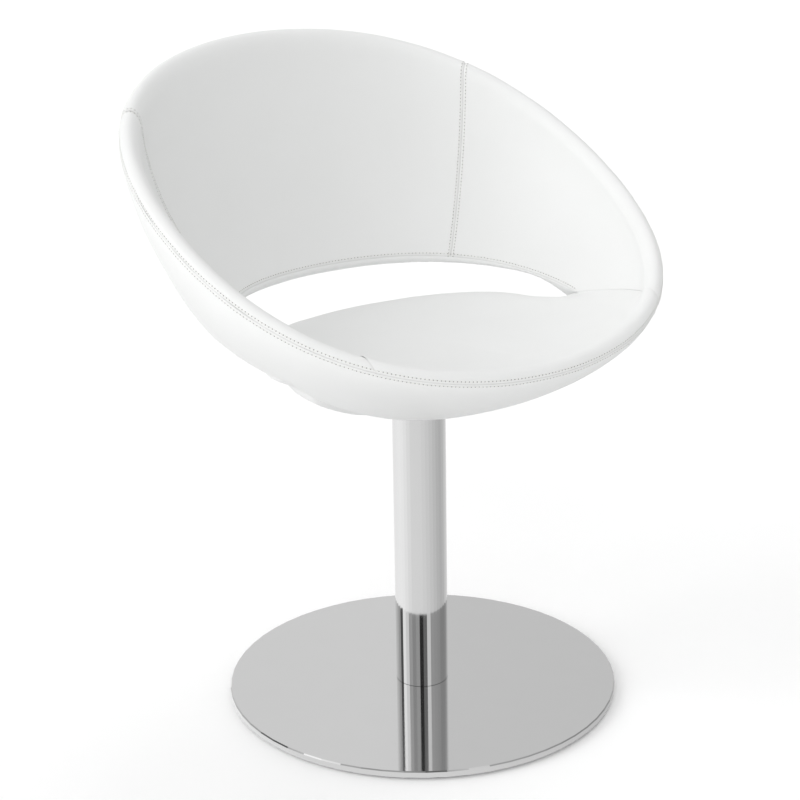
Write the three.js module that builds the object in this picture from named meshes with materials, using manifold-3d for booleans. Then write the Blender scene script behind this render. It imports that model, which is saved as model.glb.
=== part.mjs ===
// Open tub chair on a pedestal: a padded bowl with a crescent slot, a swivel, a column and a floor plate.
// Millimetres, +Z up, the front of the chair faces -Y, the origin is on the floor on the swivel axis.
import * as THREE from 'three';
import * as BufferGeometryUtils from 'three/addons/utils/BufferGeometryUtils.js';
import Module from 'manifold-3d';

const wasm = await Module();
wasm.setup();

const DEGREE = Math.PI / 180;
const FULL_TURN = 2 * Math.PI;
const QUARTER_TURN = Math.PI / 2;

// General clearances
const GAP = 0.3;
const TURNING_GAP = 0.4;

// Floor plate and its pad
const DISC_RADIUS = 225;
const DISC_THICKNESS = 8;
const DISC_BEVEL = 1.2;
const PAD_RADIUS = 219;
const PAD_THICKNESS = 3;
const PAD_HEAD_POCKET = 2;

// Column and the parts that hold it to the plate
const COLUMN_RADIUS = 30.15;
const COLUMN_WALL = 2.5;
const COLUMN_TOP_Z = 349;
const COLUMN_EDGE = 0.8;
const PLUG_HEIGHT = 26;
const PLUG_THREAD_DEPTH = 18;
const BOLT_RADIUS = 6;
const BOLT_LENGTH = 14;
const BOLT_HEAD_RADIUS = 10;
const BOLT_HEAD_HEIGHT = 2.6;
const BOLT_SOCKET_RADIUS = 4;
const BOLT_SOCKET_DEPTH = 1.6;
const WASHER_RADIUS = 13;
const WASHER_THICKNESS = 1.6;

// Swivel: spindle, bushes and ball thrust bearing
const SPINDLE_RADIUS = 15;
const SPINDLE_FOOT_Z = 190;
const SPINDLE_CHAMFER = 1.5;
const BUSH_HEIGHT = 32;
const BUSH_FLANGE_THICKNESS = 3;
const LOWER_BUSH_Z = 214;
const CLIP_THICKNESS = 2;
const CLIP_REACH = 5;
const CLIP_GROOVE_DEPTH = 1.5;
const CLIP_BELOW_BUSH = 1;
const RACE_OUTER_RADIUS = 28;
const RACE_INNER_RADIUS = 17.5;
const RACE_THICKNESS = 2;
const BALL_RADIUS = 2.6;
const BALL_COUNT = 12;
const CAGE_THICKNESS = 1.6;
const CAGE_WIDTH = 7.4;
const CAGE_STEPS_PER_BALL = 4;
const CAGE_SHOULDER_SHARE = 0.9;

// Frame under the seat
const PLATE_RADIUS = 58;
const PLATE_THICKNESS = 6;
const ARM_WIDTH = 28;
const ARM_THICKNESS = 6;
const ARM_INNER_RADIUS = 22;
const ARM_BEND_RADIUS = 56;
const ARM_COUNT = 4;
const ARM_FIRST_ANGLE = 45 * DEGREE;
const ARM_BOLT_CIRCLE = 42;
const ARM_BOLT_RADIUS = 4;
const ARM_BOLT_HEAD_RADIUS = 7;
const ARM_BOLT_HEAD_HEIGHT = 3.2;
const ARM_BOLT_PROUD = 2;
const HOOP_WALL_CLEARANCE = 27;
const HOOP_TUBE_RADIUS = 6;
const HOOP_Z = 395;

// Webbing over the seat hoop
const STRAP_COUNT = 5;
const STRAP_WIDTH = 34;
const STRAP_PITCH = 42;
const STRAP_THICKNESS = 2;
const STRAP_SAG = 5;

// Rods in the lip, in the band's lower edge and between them
const RIM_ROD_RADIUS = 5;
const BAND_ROD_RADIUS = 5;
const LINK_ROD_RADIUS = 3.5;
const LINK_SHARES = [0.3, 0.55, 0.8];
const BAND_BAR_START = 32 * DEGREE;
const UPRIGHTS = [104, 148, -148, -104].map((angle) => ({ angle: angle * DEGREE, depthShare: 0.36 }));
const SIDE_STRUT = { angle: 54 * DEGREE, depthShare: 0.4 };
const FRONT_STRUT = { angle: 26 * DEGREE, depthShare: 0.55 };

// Rim: a tilted oval lip with a round section
const RIM_HALF_WIDTH = 282;
const RIM_HALF_DEPTH = 264;
const RIM_CENTRE_Y = 38;
const RIM_CENTRE_Z = 582.4;
const RIM_RISE = 137;
const RIM_FULLNESS_SHARE = 0.135;
const LIP_RADIUS = 11;

// Bowl: an outer and an inner surface under the rim
const BOWL_BOTTOM_Z = 343.5;
const INNER_BOWL_LIFT = 30;
const BOWL_MEAN_POWER = 1.68;
const BOWL_POWER_CHANGE = 0.27;
const BELLY_SHARE = 0.3;
const WALL_WAVE = 3.6;

// Panels: where the seams and the crescent slot run
const TIP_ANGLE = 70 * DEGREE;
const BACK_SEAM_ANGLE = 129.5 * DEGREE;
const SIDE_SEAM_INNER_ANGLE = 41 * DEGREE;
const SIDE_SEAM_OUTER_ANGLE = 36 * DEGREE;
const SLOT_TIP_Z = 452;
const SLOT_BACK_Z = 467;
const SLOT_EDGE_POWER = 3;
const OUTER_TIP_ANGLE = 64 * DEGREE;
const OUTER_TIP_Z = 435;
const OUTER_LEVEL_ANGLE = 72 * DEGREE;
const OUTER_JOIN_ANGLE = 98 * DEGREE;
const EDGE_BULGE = 5;
const EDGE_BULGE_ANGLE = 98 * DEGREE;
const EDGE_BULGE_SPREAD = 16 * DEGREE;
const EDGE_BULGE_RISE = 52 * DEGREE;
const EDGE_BULGE_RISE_SPREAD = 11 * DEGREE;
const BAND_ROLL_DEPTH = 13;
const BAND_ROLL_TIP_DEPTH = 1;
const BAND_ROLL_SLOPE_TURN = 4 * DEGREE;
const ROLL_END_SHARE = 0.93;
const SEAM_TURN_UP = 4 * DEGREE;
const COVER_THICKNESS = 1.2;
const SEAM_GAP = 0.4;

// Seat pad
const SEAT_CREST_CENTRE_Y = -90;
const SEAT_CREST_DEPTH = 230;
const SEAT_BACK_Z = 426.5;
const SEAT_TIP_DROP = 7;
const SEAT_CREST_POWER = 6;
const SEAT_SIDE_POWER = 3.7;
const SEAT_CROWN = 4;
const SEAT_ROLL_RADIUS = 12;
const SEAT_ROLL_TIP_SHARE = 0.9;
const SEAT_ROLL_END = -70 * DEGREE;
const SEAT_RISE_POWER = 3;
const SEAT_ROW_POWER = 1.3;
const SEAT_EDGE_FOAM = 7;
const SEAT_FOAM_FLOOR_Z = HOOP_Z + HOOP_TUBE_RADIUS + GAP + STRAP_THICKNESS + GAP;
const LIP_START_ANGLE = 112 * DEGREE;
const LIP_END_ANGLE = 178 * DEGREE;
const PAN_POWER = 1.3;
const PAN_START_SHARE = 0.03;
const PAN_TUCK_SHARE = 0.12;
const PAN_TUCK_CENTRE = 0.24;
const PAN_TUCK_SPREAD = 0.13;
const DUST_COVER_EDGE_GAP = 2.5;
const DUST_COVER_HOLE_GAP = 3.5;
const DUST_COVER_Z = 351;

// Foam and the moulded boards that carry the leather of the bowl
const FOAM_INSET = COVER_THICKNESS + 2 * GAP;
const SEAM_ALLOWANCE = 1.5;
const WALL_FOAM_DEPTH = 7.5;
const SKIRT_DEPTH = 4;
const SKIRT_EDGE_DEPTH = 1;
const SKIRT_DROP_SHARE = 0.1;
const ROD_CHANNEL_GAP = 1.4;
const LIP_BLOCK_DEPTH = 12;
const BACK_FOAM_FIRST_COLUMN = 1;
const SIDE_LEG_ROW = 3;
const SIDE_LEG_END_SHARE = 0.6;
const SEAT_FOAM_END_GAP = 1.2;
const BOARD_THICKNESS = 2;

// How finely the round parts and the rods are divided
const DISC_SEGMENTS = 60;
const TUBE_SEGMENTS = 44;
const HOOP_SEGMENTS = 38;
const TURNED_SEGMENTS = 32;
const FIXING_SEGMENTS = 24;
const BOLT_SEGMENTS = 16;
const PLATE_CURVE_STEPS = 12;
const ROD_SIDES = 6;
const RIM_ROD_STEPS = 48;
const BAR_POINTS = 16;
const BAR_STEPS = 26;
const LINK_STEPS = 8;
const STRAP_STEPS = 8;
const CHANNEL_SIDES = 4;
const MERGE_DISTANCE = 1e-4;

// How finely the bowl's surfaces are divided
const SEAM_TO_TIP_COLUMNS = 5;
const SIDE_COLUMNS = 8;
const BACK_COLUMNS = 14;
const SEAT_COLUMNS = 16;
const FRONT_COLUMNS = 12;
const RING_ROWS = 5;
const APRON_ROWS = 6;
const ROLL_ROWS = 4;
const LIP_ROWS = 4;
const WALL_ROWS = 5;
const SEAT_ROLL_ROWS = 3;
const SEAT_ROWS = 9;
const PAN_ROWS = 5;
const DUST_COVER_ROWS = 2;
const DUST_COVER_COLUMNS = 32;
const SKEWED_COLUMNS = 2;

// Finishes
function finish(color, roughness, metalness) {
  return new THREE.MeshStandardMaterial({ color, roughness, metalness });
}

const leather = () => finish(0xf1f2f1, 0.45, 0);
const foam = () => finish(0xe9e2c8, 0.95, 0);
const chrome = () => finish(0xd9dadb, 0.05, 1);
const steel = () => finish(0x8f9296, 0.4, 1);
const paintedSteel = () => finish(0x2b2c2e, 0.6, 0.3);
const mouldedBoard = () => finish(0x515356, 0.8, 0);
const acetal = () => finish(0xf4f4f0, 0.5, 0);
const webbing = () => finish(0x3a3a3a, 0.9, 0);
const felt = () => finish(0x24252a, 1, 0);

// Vector helpers
const UP = new THREE.Vector3(0, 0, 1);
const vector = (x, y, z) => new THREE.Vector3(x, y, z);
const moved = (point, direction, distance) => point.clone().addScaledVector(direction, distance);
const mixed = (a, b, share) => a.clone().lerp(b, share);
const mix = (a, b, share) => a + (b - a) * share;
const directionTo = (a, b) => b.clone().sub(a).normalize();
const polar = (radius, angle, z) => vector(radius * Math.sin(angle), -radius * Math.cos(angle), z);
const unwrapped = (angle) => (angle > Math.PI ? angle - FULL_TURN : angle);
const mirroredPoint = (point) => vector(-point.x, point.y, point.z);
const steps = (count) => Array.from({ length: count + 1 }, (_, index) => index / count);

// The rim's centre line. Angle 0 is the front, half a turn is the back, positive angles are on +X.
function rimCentre(angle) {
  const across = Math.sin(angle);
  const along = Math.cos(angle);
  const x = RIM_HALF_WIDTH * across * (1 + RIM_FULLNESS_SHARE * along * along);
  return vector(x, RIM_CENTRE_Y - RIM_HALF_DEPTH * along, RIM_CENTRE_Z - RIM_RISE * along);
}

function rimOutward(angle) {
  const across = Math.sin(angle);
  const along = Math.cos(angle);
  const squared = along * along - 2 * across * across;
  const dx = RIM_HALF_WIDTH * along * (1 + RIM_FULLNESS_SHARE * squared);
  const dy = RIM_HALF_DEPTH * across;
  return vector(dy, -dx, 0).normalize();
}

const lipPoint = (angle, turn, radius) =>
  moved(moved(rimCentre(angle), rimOutward(angle), radius * Math.cos(turn)), UP, radius * Math.sin(turn));

// A bowl's section is a superellipse whose power grows from front to back
const bowlPower = (angle) => BOWL_MEAN_POWER - BOWL_POWER_CHANGE * Math.cos(angle);

function bowlPoint(edge, bottomZ, rise, angle) {
  const exponent = 2 / bowlPower(angle);
  const across = Math.sin(rise) ** exponent;
  const height = 1 - Math.cos(rise) ** exponent;
  return vector(edge.x * across, edge.y * across, mix(bottomZ, edge.z, height));
}

function riseAtHeight(z, edgeZ, bottomZ, angle) {
  const left = 1 - (z - bottomZ) / (edgeZ - bottomZ);
  return Math.acos(left ** (bowlPower(angle) / 2));
}

const riseAtShare = (share, angle) => Math.asin(share ** (bowlPower(angle) / 2));
const innerBottomZ = BOWL_BOTTOM_Z + INNER_BOWL_LIFT;

// The back band's wall is slightly hollow between the lip and the lower roll
function waveAt(rise, angle) {
  const share = rise / QUARTER_TURN;
  const fade = THREE.MathUtils.smoothstep(Math.abs(angle), TIP_ANGLE, BACK_SEAM_ANGLE);
  return WALL_WAVE * fade * Math.cos(2 * FULL_TURN * (share - 1)) * Math.sin(QUARTER_TURN * share);
}

// Near the slot's ends the band is fuller above its lower edge
function bulgeAt(rise, angle) {
  const aside = (Math.abs(angle) - EDGE_BULGE_ANGLE) / EDGE_BULGE_SPREAD;
  const above = (rise - EDGE_BULGE_RISE) / EDGE_BULGE_RISE_SPREAD;
  return EDGE_BULGE * Math.exp(-aside * aside - above * above);
}

function outerPoint(rise, angle) {
  const edge = lipPoint(angle, 0, LIP_RADIUS);
  const point = bowlPoint(edge, BOWL_BOTTOM_Z, rise, angle);
  const wave = waveAt(rise, angle) - waveAt(QUARTER_TURN, angle);
  return moved(point, rimOutward(angle), wave + bulgeAt(rise, angle));
}

function innerPoint(rise, angle) {
  const edge = lipPoint(angle, Math.PI, LIP_RADIUS);
  return bowlPoint(edge, innerBottomZ, rise, angle);
}

// Seam and slot lines on the two surfaces
function slotEdgeZ(angle) {
  const share = (Math.abs(angle) - TIP_ANGLE) / (Math.PI - TIP_ANGLE);
  return mix(SLOT_BACK_Z, SLOT_TIP_Z, (1 - share) ** SLOT_EDGE_POWER);
}

function innerRiseAt(z, angle) {
  return riseAtHeight(z, rimCentre(angle).z, innerBottomZ, angle);
}

const slotInnerRise = (angle) => innerRiseAt(slotEdgeZ(angle), angle);

// Outside, the slot starts nearer the front and lower, and meets the inner edge's height behind
function outerBandAngle(angle) {
  const share = (Math.abs(angle) - TIP_ANGLE) / (OUTER_JOIN_ANGLE - TIP_ANGLE);
  return share < 1 ? Math.sign(angle) * mix(OUTER_TIP_ANGLE, OUTER_JOIN_ANGLE, share) : angle;
}

function slotOuterRise(angle) {
  const bounded = Math.max(Math.abs(angle), OUTER_TIP_ANGLE);
  const catchUp = THREE.MathUtils.smoothstep(bounded, OUTER_LEVEL_ANGLE, OUTER_JOIN_ANGLE);
  const z = mix(OUTER_TIP_Z, slotEdgeZ(Math.max(bounded, TIP_ANGLE)), catchUp);
  return riseAtHeight(z, rimCentre(bounded).z, BOWL_BOTTOM_Z, bounded);
}

function sideSeamPoint(share) {
  const angle = mix(TIP_ANGLE, SIDE_SEAM_INNER_ANGLE, share);
  const z = mix(SLOT_TIP_Z, rimCentre(SIDE_SEAM_INNER_ANGLE).z, share);
  return innerPoint(innerRiseAt(z, angle), angle);
}

// The roll along the band's lower edge, from the outer surface round to the inner stitch line
function bandRoll(angle) {
  const inner = innerPoint(slotInnerRise(angle), angle);
  const outside = outerBandAngle(angle);
  const outer = outerPoint(slotOuterRise(outside), outside);
  const above = outerPoint(slotOuterRise(outside) + BAND_ROLL_SLOPE_TURN, outside);
  const side = inner.clone().sub(outer).multiplyScalar(0.5);
  const share = (Math.abs(angle) - TIP_ANGLE) / (Math.PI - TIP_ANGLE);
  const depth = mix(BAND_ROLL_DEPTH, BAND_ROLL_TIP_DEPTH, (1 - share) ** SLOT_EDGE_POWER);
  return { centre: mixed(outer, inner, 0.5), side, down: directionTo(above, outer), depth };
}

function bandRollPoint(angle, turn) {
  const roll = bandRoll(angle);
  return moved(moved(roll.centre, roll.side, -Math.cos(turn)), roll.down, roll.depth * Math.sin(turn));
}

// Seat surface between the rear crest and the front lip. Side runs -1 to 1, ahead runs 0 to 1.
const seatTip = sideSeamPoint(0);
const crestTipAngle = Math.acos((seatTip.y - SEAT_CREST_CENTRE_Y) / SEAT_CREST_DEPTH);
const crestHalfWidth = seatTip.x / Math.sin(crestTipAngle);
const crestTipZ = SLOT_TIP_Z - SEAT_TIP_DROP;

function crestPoint(side) {
  const angle = side * crestTipAngle;
  const share = Math.abs(Math.sin(angle)) / Math.sin(crestTipAngle);
  const z = mix(SEAT_BACK_Z, crestTipZ, share ** SEAT_CREST_POWER);
  const y = SEAT_CREST_CENTRE_Y + SEAT_CREST_DEPTH * Math.cos(angle);
  return vector(crestHalfWidth * Math.sin(angle), y, z);
}

function crestOutward(side) {
  const angle = side * crestTipAngle;
  return vector(SEAT_CREST_DEPTH * Math.sin(angle), crestHalfWidth * Math.cos(angle), 0).normalize();
}

const lipStart = (side) => mix(LIP_START_ANGLE, LIP_END_ANGLE, side * side);
const seatFrontAngle = (side) => side * SIDE_SEAM_INNER_ANGLE;

function seatPoint(side, ahead) {
  const rear = crestPoint(side);
  const front = lipPoint(seatFrontAngle(side), lipStart(side), LIP_RADIUS);
  const rise = ahead ** mix(SEAT_RISE_POWER, 1, Math.abs(side));
  const base = mixed(rear, front, ahead);
  base.z = mix(rear.z, front.z, rise);
  const seam = sideSeamPoint(ahead);
  const straight = mixed(crestPoint(1), lipPoint(SIDE_SEAM_INNER_ANGLE, lipStart(1), LIP_RADIUS), ahead);
  const pull = seam.clone().sub(straight);
  const lift = SEAT_CROWN * (1 - side * side) * Math.sin(Math.PI * ahead);
  const sideLift = pull.z * Math.abs(side) ** SEAT_SIDE_POWER * Math.min(1, ahead / BELLY_SHARE);
  return vector(base.x + pull.x * side, base.y + pull.y * side * side, base.z + lift + sideLift);
}

function seatRollPoint(side, turn) {
  const crest = crestPoint(side);
  const centre = moved(crest, UP, -SEAT_ROLL_RADIUS);
  const reach = SEAT_ROLL_RADIUS * (1 - SEAT_ROLL_TIP_SHARE * Math.abs(side) ** SEAT_CREST_POWER);
  const ahead = moved(centre, crestOutward(side), reach * Math.cos(turn));
  return moved(ahead, UP, SEAT_ROLL_RADIUS * Math.sin(turn));
}

const bellyPoint = (angle) => outerPoint(riseAtShare(BELLY_SHARE, angle), angle);
const crestToRimAngle = (side) => Math.sign(side || 1) * mix(Math.PI, OUTER_TIP_ANGLE, Math.abs(side));

function panPoint(side, share) {
  const top = seatRollPoint(side, SEAT_ROLL_END);
  const bottom = bellyPoint(crestToRimAngle(side));
  const turn = QUARTER_TURN * share;
  const tuck = PAN_TUCK_SHARE * Math.exp(-(((share - PAN_TUCK_CENTRE) / PAN_TUCK_SPREAD) ** 2));
  const inward = 1 - Math.cos(turn) ** (2 / PAN_POWER) + tuck * Math.abs(side);
  const point = mixed(top, bottom, inward);
  point.z = mix(top.z, bottom.z, Math.sin(turn) ** (2 / PAN_POWER));
  return point;
}

// How far down the middle of the pan a height is
function panShareAt(z) {
  const top = panPoint(0, 0).z;
  const drop = (top - z) / (top - panPoint(0, 1).z);
  return Math.asin(drop ** (PAN_POWER / 2)) / QUARTER_TURN;
}

// Open sheets of quads that share vertices, later given a thickness
class Sheet {
  constructor() {
    this.points = [];
    this.keys = new Map();
    this.faces = [];
  }

  vertex(key, makePoint) {
    if (!this.keys.has(key)) {
      this.keys.set(key, this.points.length);
      this.points.push(makePoint());
    }
    return this.keys.get(key);
  }

  quad(a, b, c, d) {
    this.faces.push([a, b, c], [a, c, d]);
  }

  // A row of one grid takes its vertices from the ring above it
  share(name, column, ringRow, ringColumn) {
    this.keys.set(`${name},0,${column}`, this.keys.get(`ring,${ringRow},${ringColumn}`));
  }

  // A point behind the sheet, square to it
  under(name, row, column, depth) {
    this.normals ??= sheetNormals(this);
    const index = this.keys.get(`${name},${row},${column}`);
    return moved(this.points[index], this.normals[index], -depth);
  }

  grid(name, rows, columns, pointAt, closed = false) {
    const index = (row, column) => {
      const wrapped = closed ? column % columns : column;
      return this.vertex(`${name},${row},${wrapped}`, () => pointAt(row, wrapped));
    };
    for (let row = 0; row < rows; row += 1) {
      for (let column = 0; column < columns; column += 1) {
        const next = column + 1;
        this.quad(index(row, column), index(row + 1, column), index(row + 1, next), index(row, next));
      }
    }
    return this;
  }

  flipped() {
    this.faces = this.faces.map(([a, b, c]) => [a, c, b]);
    return this;
  }
}

function solidFrom(points, faces) {
  const geometry = new THREE.BufferGeometry();
  const positions = points.flatMap((point) => point.toArray());
  geometry.setAttribute('position', new THREE.Float32BufferAttribute(positions, 3));
  geometry.setIndex(faces.flat());
  if (volumeOf(points, faces) < 0) {
    geometry.setIndex(faces.map(([a, b, c]) => [a, c, b]).flat());
  }
  geometry.computeVertexNormals();
  return geometry;
}

function volumeOf(points, faces) {
  return faces.reduce((sum, [a, b, c]) => sum + points[a].dot(points[b].clone().cross(points[c])), 0);
}

function sheetNormals(sheet) {
  const normals = sheet.points.map(() => vector(0, 0, 0));
  for (const [a, b, c] of sheet.faces) {
    const first = sheet.points[b].clone().sub(sheet.points[a]);
    const second = sheet.points[c].clone().sub(sheet.points[a]);
    const area = first.cross(second);
    for (const corner of [a, b, c]) normals[corner].add(area);
  }
  return normals.map((normal) => normal.normalize());
}

// A sheet with a thickness behind it, closed round its edges
function thickened(sheet, thickness) {
  const normals = sheetNormals(sheet);
  const count = sheet.points.length;
  const behind = sheet.points.map((point, index) => moved(point, normals[index], -thickness));
  const faces = [...sheet.faces, ...sheet.faces.map(([a, b, c]) => [a + count, c + count, b + count])];
  const edges = new Set(sheet.faces.flatMap(([a, b, c]) => [`${a},${b}`, `${b},${c}`, `${c},${a}`]));
  for (const edge of edges) {
    const [from, to] = edge.split(',').map(Number);
    if (!edges.has(`${to},${from}`)) {
      faces.push([to, from, from + count], [to, from + count, to + count]);
    }
  }
  return solidFrom([...sheet.points, ...behind], faces);
}

// A solid through a run of closed outlines, each given as matching points
function lofted(outlines, closed) {
  const size = outlines[0].length;
  const points = outlines.flat();
  const faces = [];
  const last = closed ? outlines.length : outlines.length - 1;
  for (let ring = 0; ring < last; ring += 1) {
    const here = ring * size;
    const next = ((ring + 1) % outlines.length) * size;
    for (let corner = 0; corner < size; corner += 1) {
      const after = (corner + 1) % size;
      faces.push([here + corner, here + after, next + after], [here + corner, next + after, next + corner]);
    }
  }
  if (!closed) {
    faces.push(...capFaces(outlines[0], 0, true), ...capFaces(outlines.at(-1), points.length - size, false));
  }
  return solidFrom(points, faces);
}

// Ears are clipped in order of quality, so points on a straight run stay in use
function capFaces(outline, offset, flip) {
  const normal = vector(0, 0, 0);
  outline.forEach((point, index) => normal.add(point.clone().cross(outline[(index + 1) % outline.length])));
  const turn = new THREE.Quaternion().setFromUnitVectors(normal.normalize(), UP);
  const flat = outline.map((point) => point.clone().applyQuaternion(turn));
  const left = outline.map((_, index) => index);
  const faces = [];
  while (left.length > 2) {
    const at = bestEar(flat, left);
    const corner = (step) => left[(at + step + left.length) % left.length] + offset;
    faces.push(flip ? [corner(-1), corner(1), corner(0)] : [corner(-1), corner(0), corner(1)]);
    left.splice(at, 1);
  }
  return faces;
}

function bestEar(flat, left) {
  const area = (a, b, c) => (b.x - a.x) * (c.y - a.y) - (c.x - a.x) * (b.y - a.y);
  let best = 0;
  let bestQuality = -Infinity;
  left.forEach((tip, at) => {
    const before = flat[left.at(at - 1)];
    const here = flat[tip];
    const after = flat[left[(at + 1) % left.length]];
    const longest = Math.max(before.distanceTo(here), here.distanceTo(after), after.distanceTo(before));
    const inside = left.some((other) => {
      const point = flat[other];
      if (point === before || point === here || point === after) return false;
      const sides = [area(before, here, point), area(here, after, point), area(after, before, point)];
      return Math.min(...sides) >= 0;
    });
    const quality = inside ? -1 : area(before, here, after) / longest ** 2;
    if (quality > bestQuality) {
      best = at;
      bestQuality = quality;
    }
  });
  return best;
}

// Booleans: a geometry with others cut out of it
function manifoldOf(geometry) {
  const vertProperties = new Float32Array(geometry.getAttribute('position').array);
  const triVerts = new Uint32Array(geometry.getIndex().array);
  return new wasm.Manifold(new wasm.Mesh({ numProp: 3, vertProperties, triVerts }));
}

function cut(geometry, tools) {
  const solid = tools.reduce((rest, tool) => rest.subtract(manifoldOf(tool)), manifoldOf(geometry));
  const largest = solid.decompose().toSorted((a, b) => b.volume() - a.volume())[0];
  const mesh = largest.getMesh();
  const result = new THREE.BufferGeometry();
  result.setAttribute('position', new THREE.Float32BufferAttribute(mesh.vertProperties, mesh.numProp));
  result.setIndex(Array.from(mesh.triVerts));
  result.computeVertexNormals();
  return result;
}

// A closed rod along a closed run of points
function closedRod(pointAt, count, radius) {
  const centres = Array.from({ length: count }, (_, index) => pointAt((index / count) * FULL_TURN));
  const outlines = centres.map((centre, index) => {
    const ahead = directionTo(centres[(index + count - 1) % count], centres[(index + 1) % count]);
    const outward = ahead.clone().cross(UP).normalize();
    const over = outward.clone().cross(ahead).normalize();
    return circlePoints(centre, outward, over, radius);
  });
  return lofted(outlines, true);
}

function circlePoints(centre, across, over, radius) {
  return Array.from({ length: ROD_SIDES }, (_, index) => {
    const turn = (index / ROD_SIDES) * FULL_TURN;
    return moved(moved(centre, across, radius * Math.cos(turn)), over, radius * Math.sin(turn));
  });
}

// A rod with two ends along a run of points
function rod(points, radius, stepCount) {
  const circle = new THREE.Shape().absarc(0, 0, radius, 0, FULL_TURN);
  const path = points.length > 2 ? new THREE.CatmullRomCurve3(points) : new THREE.LineCurve3(...points);
  const geometry = new THREE.ExtrudeGeometry(circle, {
    extrudePath: path,
    steps: stepCount,
    curveSegments: ROD_SIDES / 2,
  });
  return merged(geometry);
}

function merged(geometry) {
  geometry.deleteAttribute('normal');
  geometry.deleteAttribute('uv');
  return BufferGeometryUtils.mergeVertices(geometry, MERGE_DISTANCE);
}

function turned(profile, segments) {
  const points = profile.map(([radius, z]) => new THREE.Vector2(radius, z));
  return new THREE.LatheGeometry(points, segments).rotateX(QUARTER_TURN);
}

const ring = (inner, outer, low, high, segments) =>
  turned([[inner, low], [outer, low], [outer, high], [inner, high], [inner, low]], segments);

const chair = new THREE.Group();

function add(name, geometry, material) {
  const mesh = new THREE.Mesh(geometry, material);
  mesh.name = name;
  chair.add(mesh);
  return mesh;
}

// Floor plate, pad, plug and bolt
const discBottom = PAD_THICKNESS;
const discTop = discBottom + DISC_THICKNESS;
const boltHole = BOLT_RADIUS + GAP;
const washerTop = discBottom - GAP;
const washerRecess = WASHER_THICKNESS + GAP;
const columnFootZ = discTop + GAP;

function addFloorPad() {
  const pocket = PAD_THICKNESS - PAD_HEAD_POCKET;
  const pocketRadius = WASHER_RADIUS + 2 * GAP;
  const top = PAD_THICKNESS - GAP;
  const edge = [[0, 0], [PAD_RADIUS, 0], [PAD_RADIUS, top]];
  const middle = [[pocketRadius, top], [pocketRadius, pocket], [0, pocket]];
  add('floor_pad', turned([...edge, ...middle], TUBE_SEGMENTS), felt());
}

function addBaseDisc() {
  const inner = boltHole;
  const recessRadius = WASHER_RADIUS + GAP;
  const recessTop = discBottom + washerRecess + BOLT_HEAD_HEIGHT;
  const profile = [
    [inner, recessTop],
    [recessRadius, recessTop],
    [recessRadius, discBottom],
    [DISC_RADIUS - DISC_BEVEL, discBottom],
    [DISC_RADIUS, discBottom + DISC_BEVEL],
    [DISC_RADIUS, discTop - DISC_BEVEL],
    [DISC_RADIUS - DISC_BEVEL, discTop],
    [inner, discTop],
    [inner, recessTop],
  ];
  add('base_disc', turned(profile, DISC_SEGMENTS), chrome());
}

function addBaseFixings() {
  const plugRadius = COLUMN_RADIUS - COLUMN_WALL - GAP;
  const plugTop = columnFootZ + PLUG_HEIGHT;
  const threadTop = columnFootZ + PLUG_THREAD_DEPTH;
  const outside = [[boltHole, columnFootZ], [plugRadius, columnFootZ], [plugRadius, plugTop], [0, plugTop]];
  const thread = [[0, threadTop], [boltHole, threadTop], [boltHole, columnFootZ]];
  add('foot_plug', turned([...outside, ...thread], FIXING_SEGMENTS), steel());
  const recessTop = discBottom + washerRecess + BOLT_HEAD_HEIGHT;
  const washerHigh = recessTop - GAP;
  const washerLow = washerHigh - WASHER_THICKNESS;
  add('base_washer', ring(boltHole, WASHER_RADIUS, washerLow, washerHigh, FIXING_SEGMENTS), steel());
  const headTop = washerLow - GAP;
  const headLow = headTop - BOLT_HEAD_HEIGHT;
  const socketTop = headLow + BOLT_SOCKET_DEPTH;
  const bolt = [
    [0, socketTop],
    [BOLT_SOCKET_RADIUS, socketTop],
    [BOLT_SOCKET_RADIUS, headLow],
    [BOLT_HEAD_RADIUS, headLow],
    [BOLT_HEAD_RADIUS, headTop],
    [BOLT_RADIUS, headTop],
    [BOLT_RADIUS, headTop + BOLT_LENGTH],
    [0, headTop + BOLT_LENGTH],
  ];
  add('base_bolt', turned(bolt, BOLT_SEGMENTS), steel());
}

function addColumn() {
  const inner = COLUMN_RADIUS - COLUMN_WALL;
  const profile = [
    [inner, columnFootZ],
    [COLUMN_RADIUS, columnFootZ],
    [COLUMN_RADIUS, COLUMN_TOP_Z - COLUMN_EDGE],
    [COLUMN_RADIUS - COLUMN_EDGE, COLUMN_TOP_Z],
    [inner, COLUMN_TOP_Z],
    [inner, columnFootZ],
  ];
  add('column_tube', turned(profile, TUBE_SEGMENTS), chrome());
}

// Swivel stack on top of the column
const bushOuter = COLUMN_RADIUS - COLUMN_WALL - GAP;
const bushInner = SPINDLE_RADIUS + TURNING_GAP;
const bushTop = COLUMN_TOP_Z + GAP + BUSH_FLANGE_THICKNESS;
const lowerRaceZ = bushTop + GAP;
const ballZ = lowerRaceZ + RACE_THICKNESS + GAP + BALL_RADIUS;
const upperRaceZ = ballZ + BALL_RADIUS + GAP;
const plateZ = upperRaceZ + RACE_THICKNESS + GAP;
const plateTop = plateZ + PLATE_THICKNESS;
const clipZ = LOWER_BUSH_Z - CLIP_BELOW_BUSH - CLIP_THICKNESS;

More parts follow.
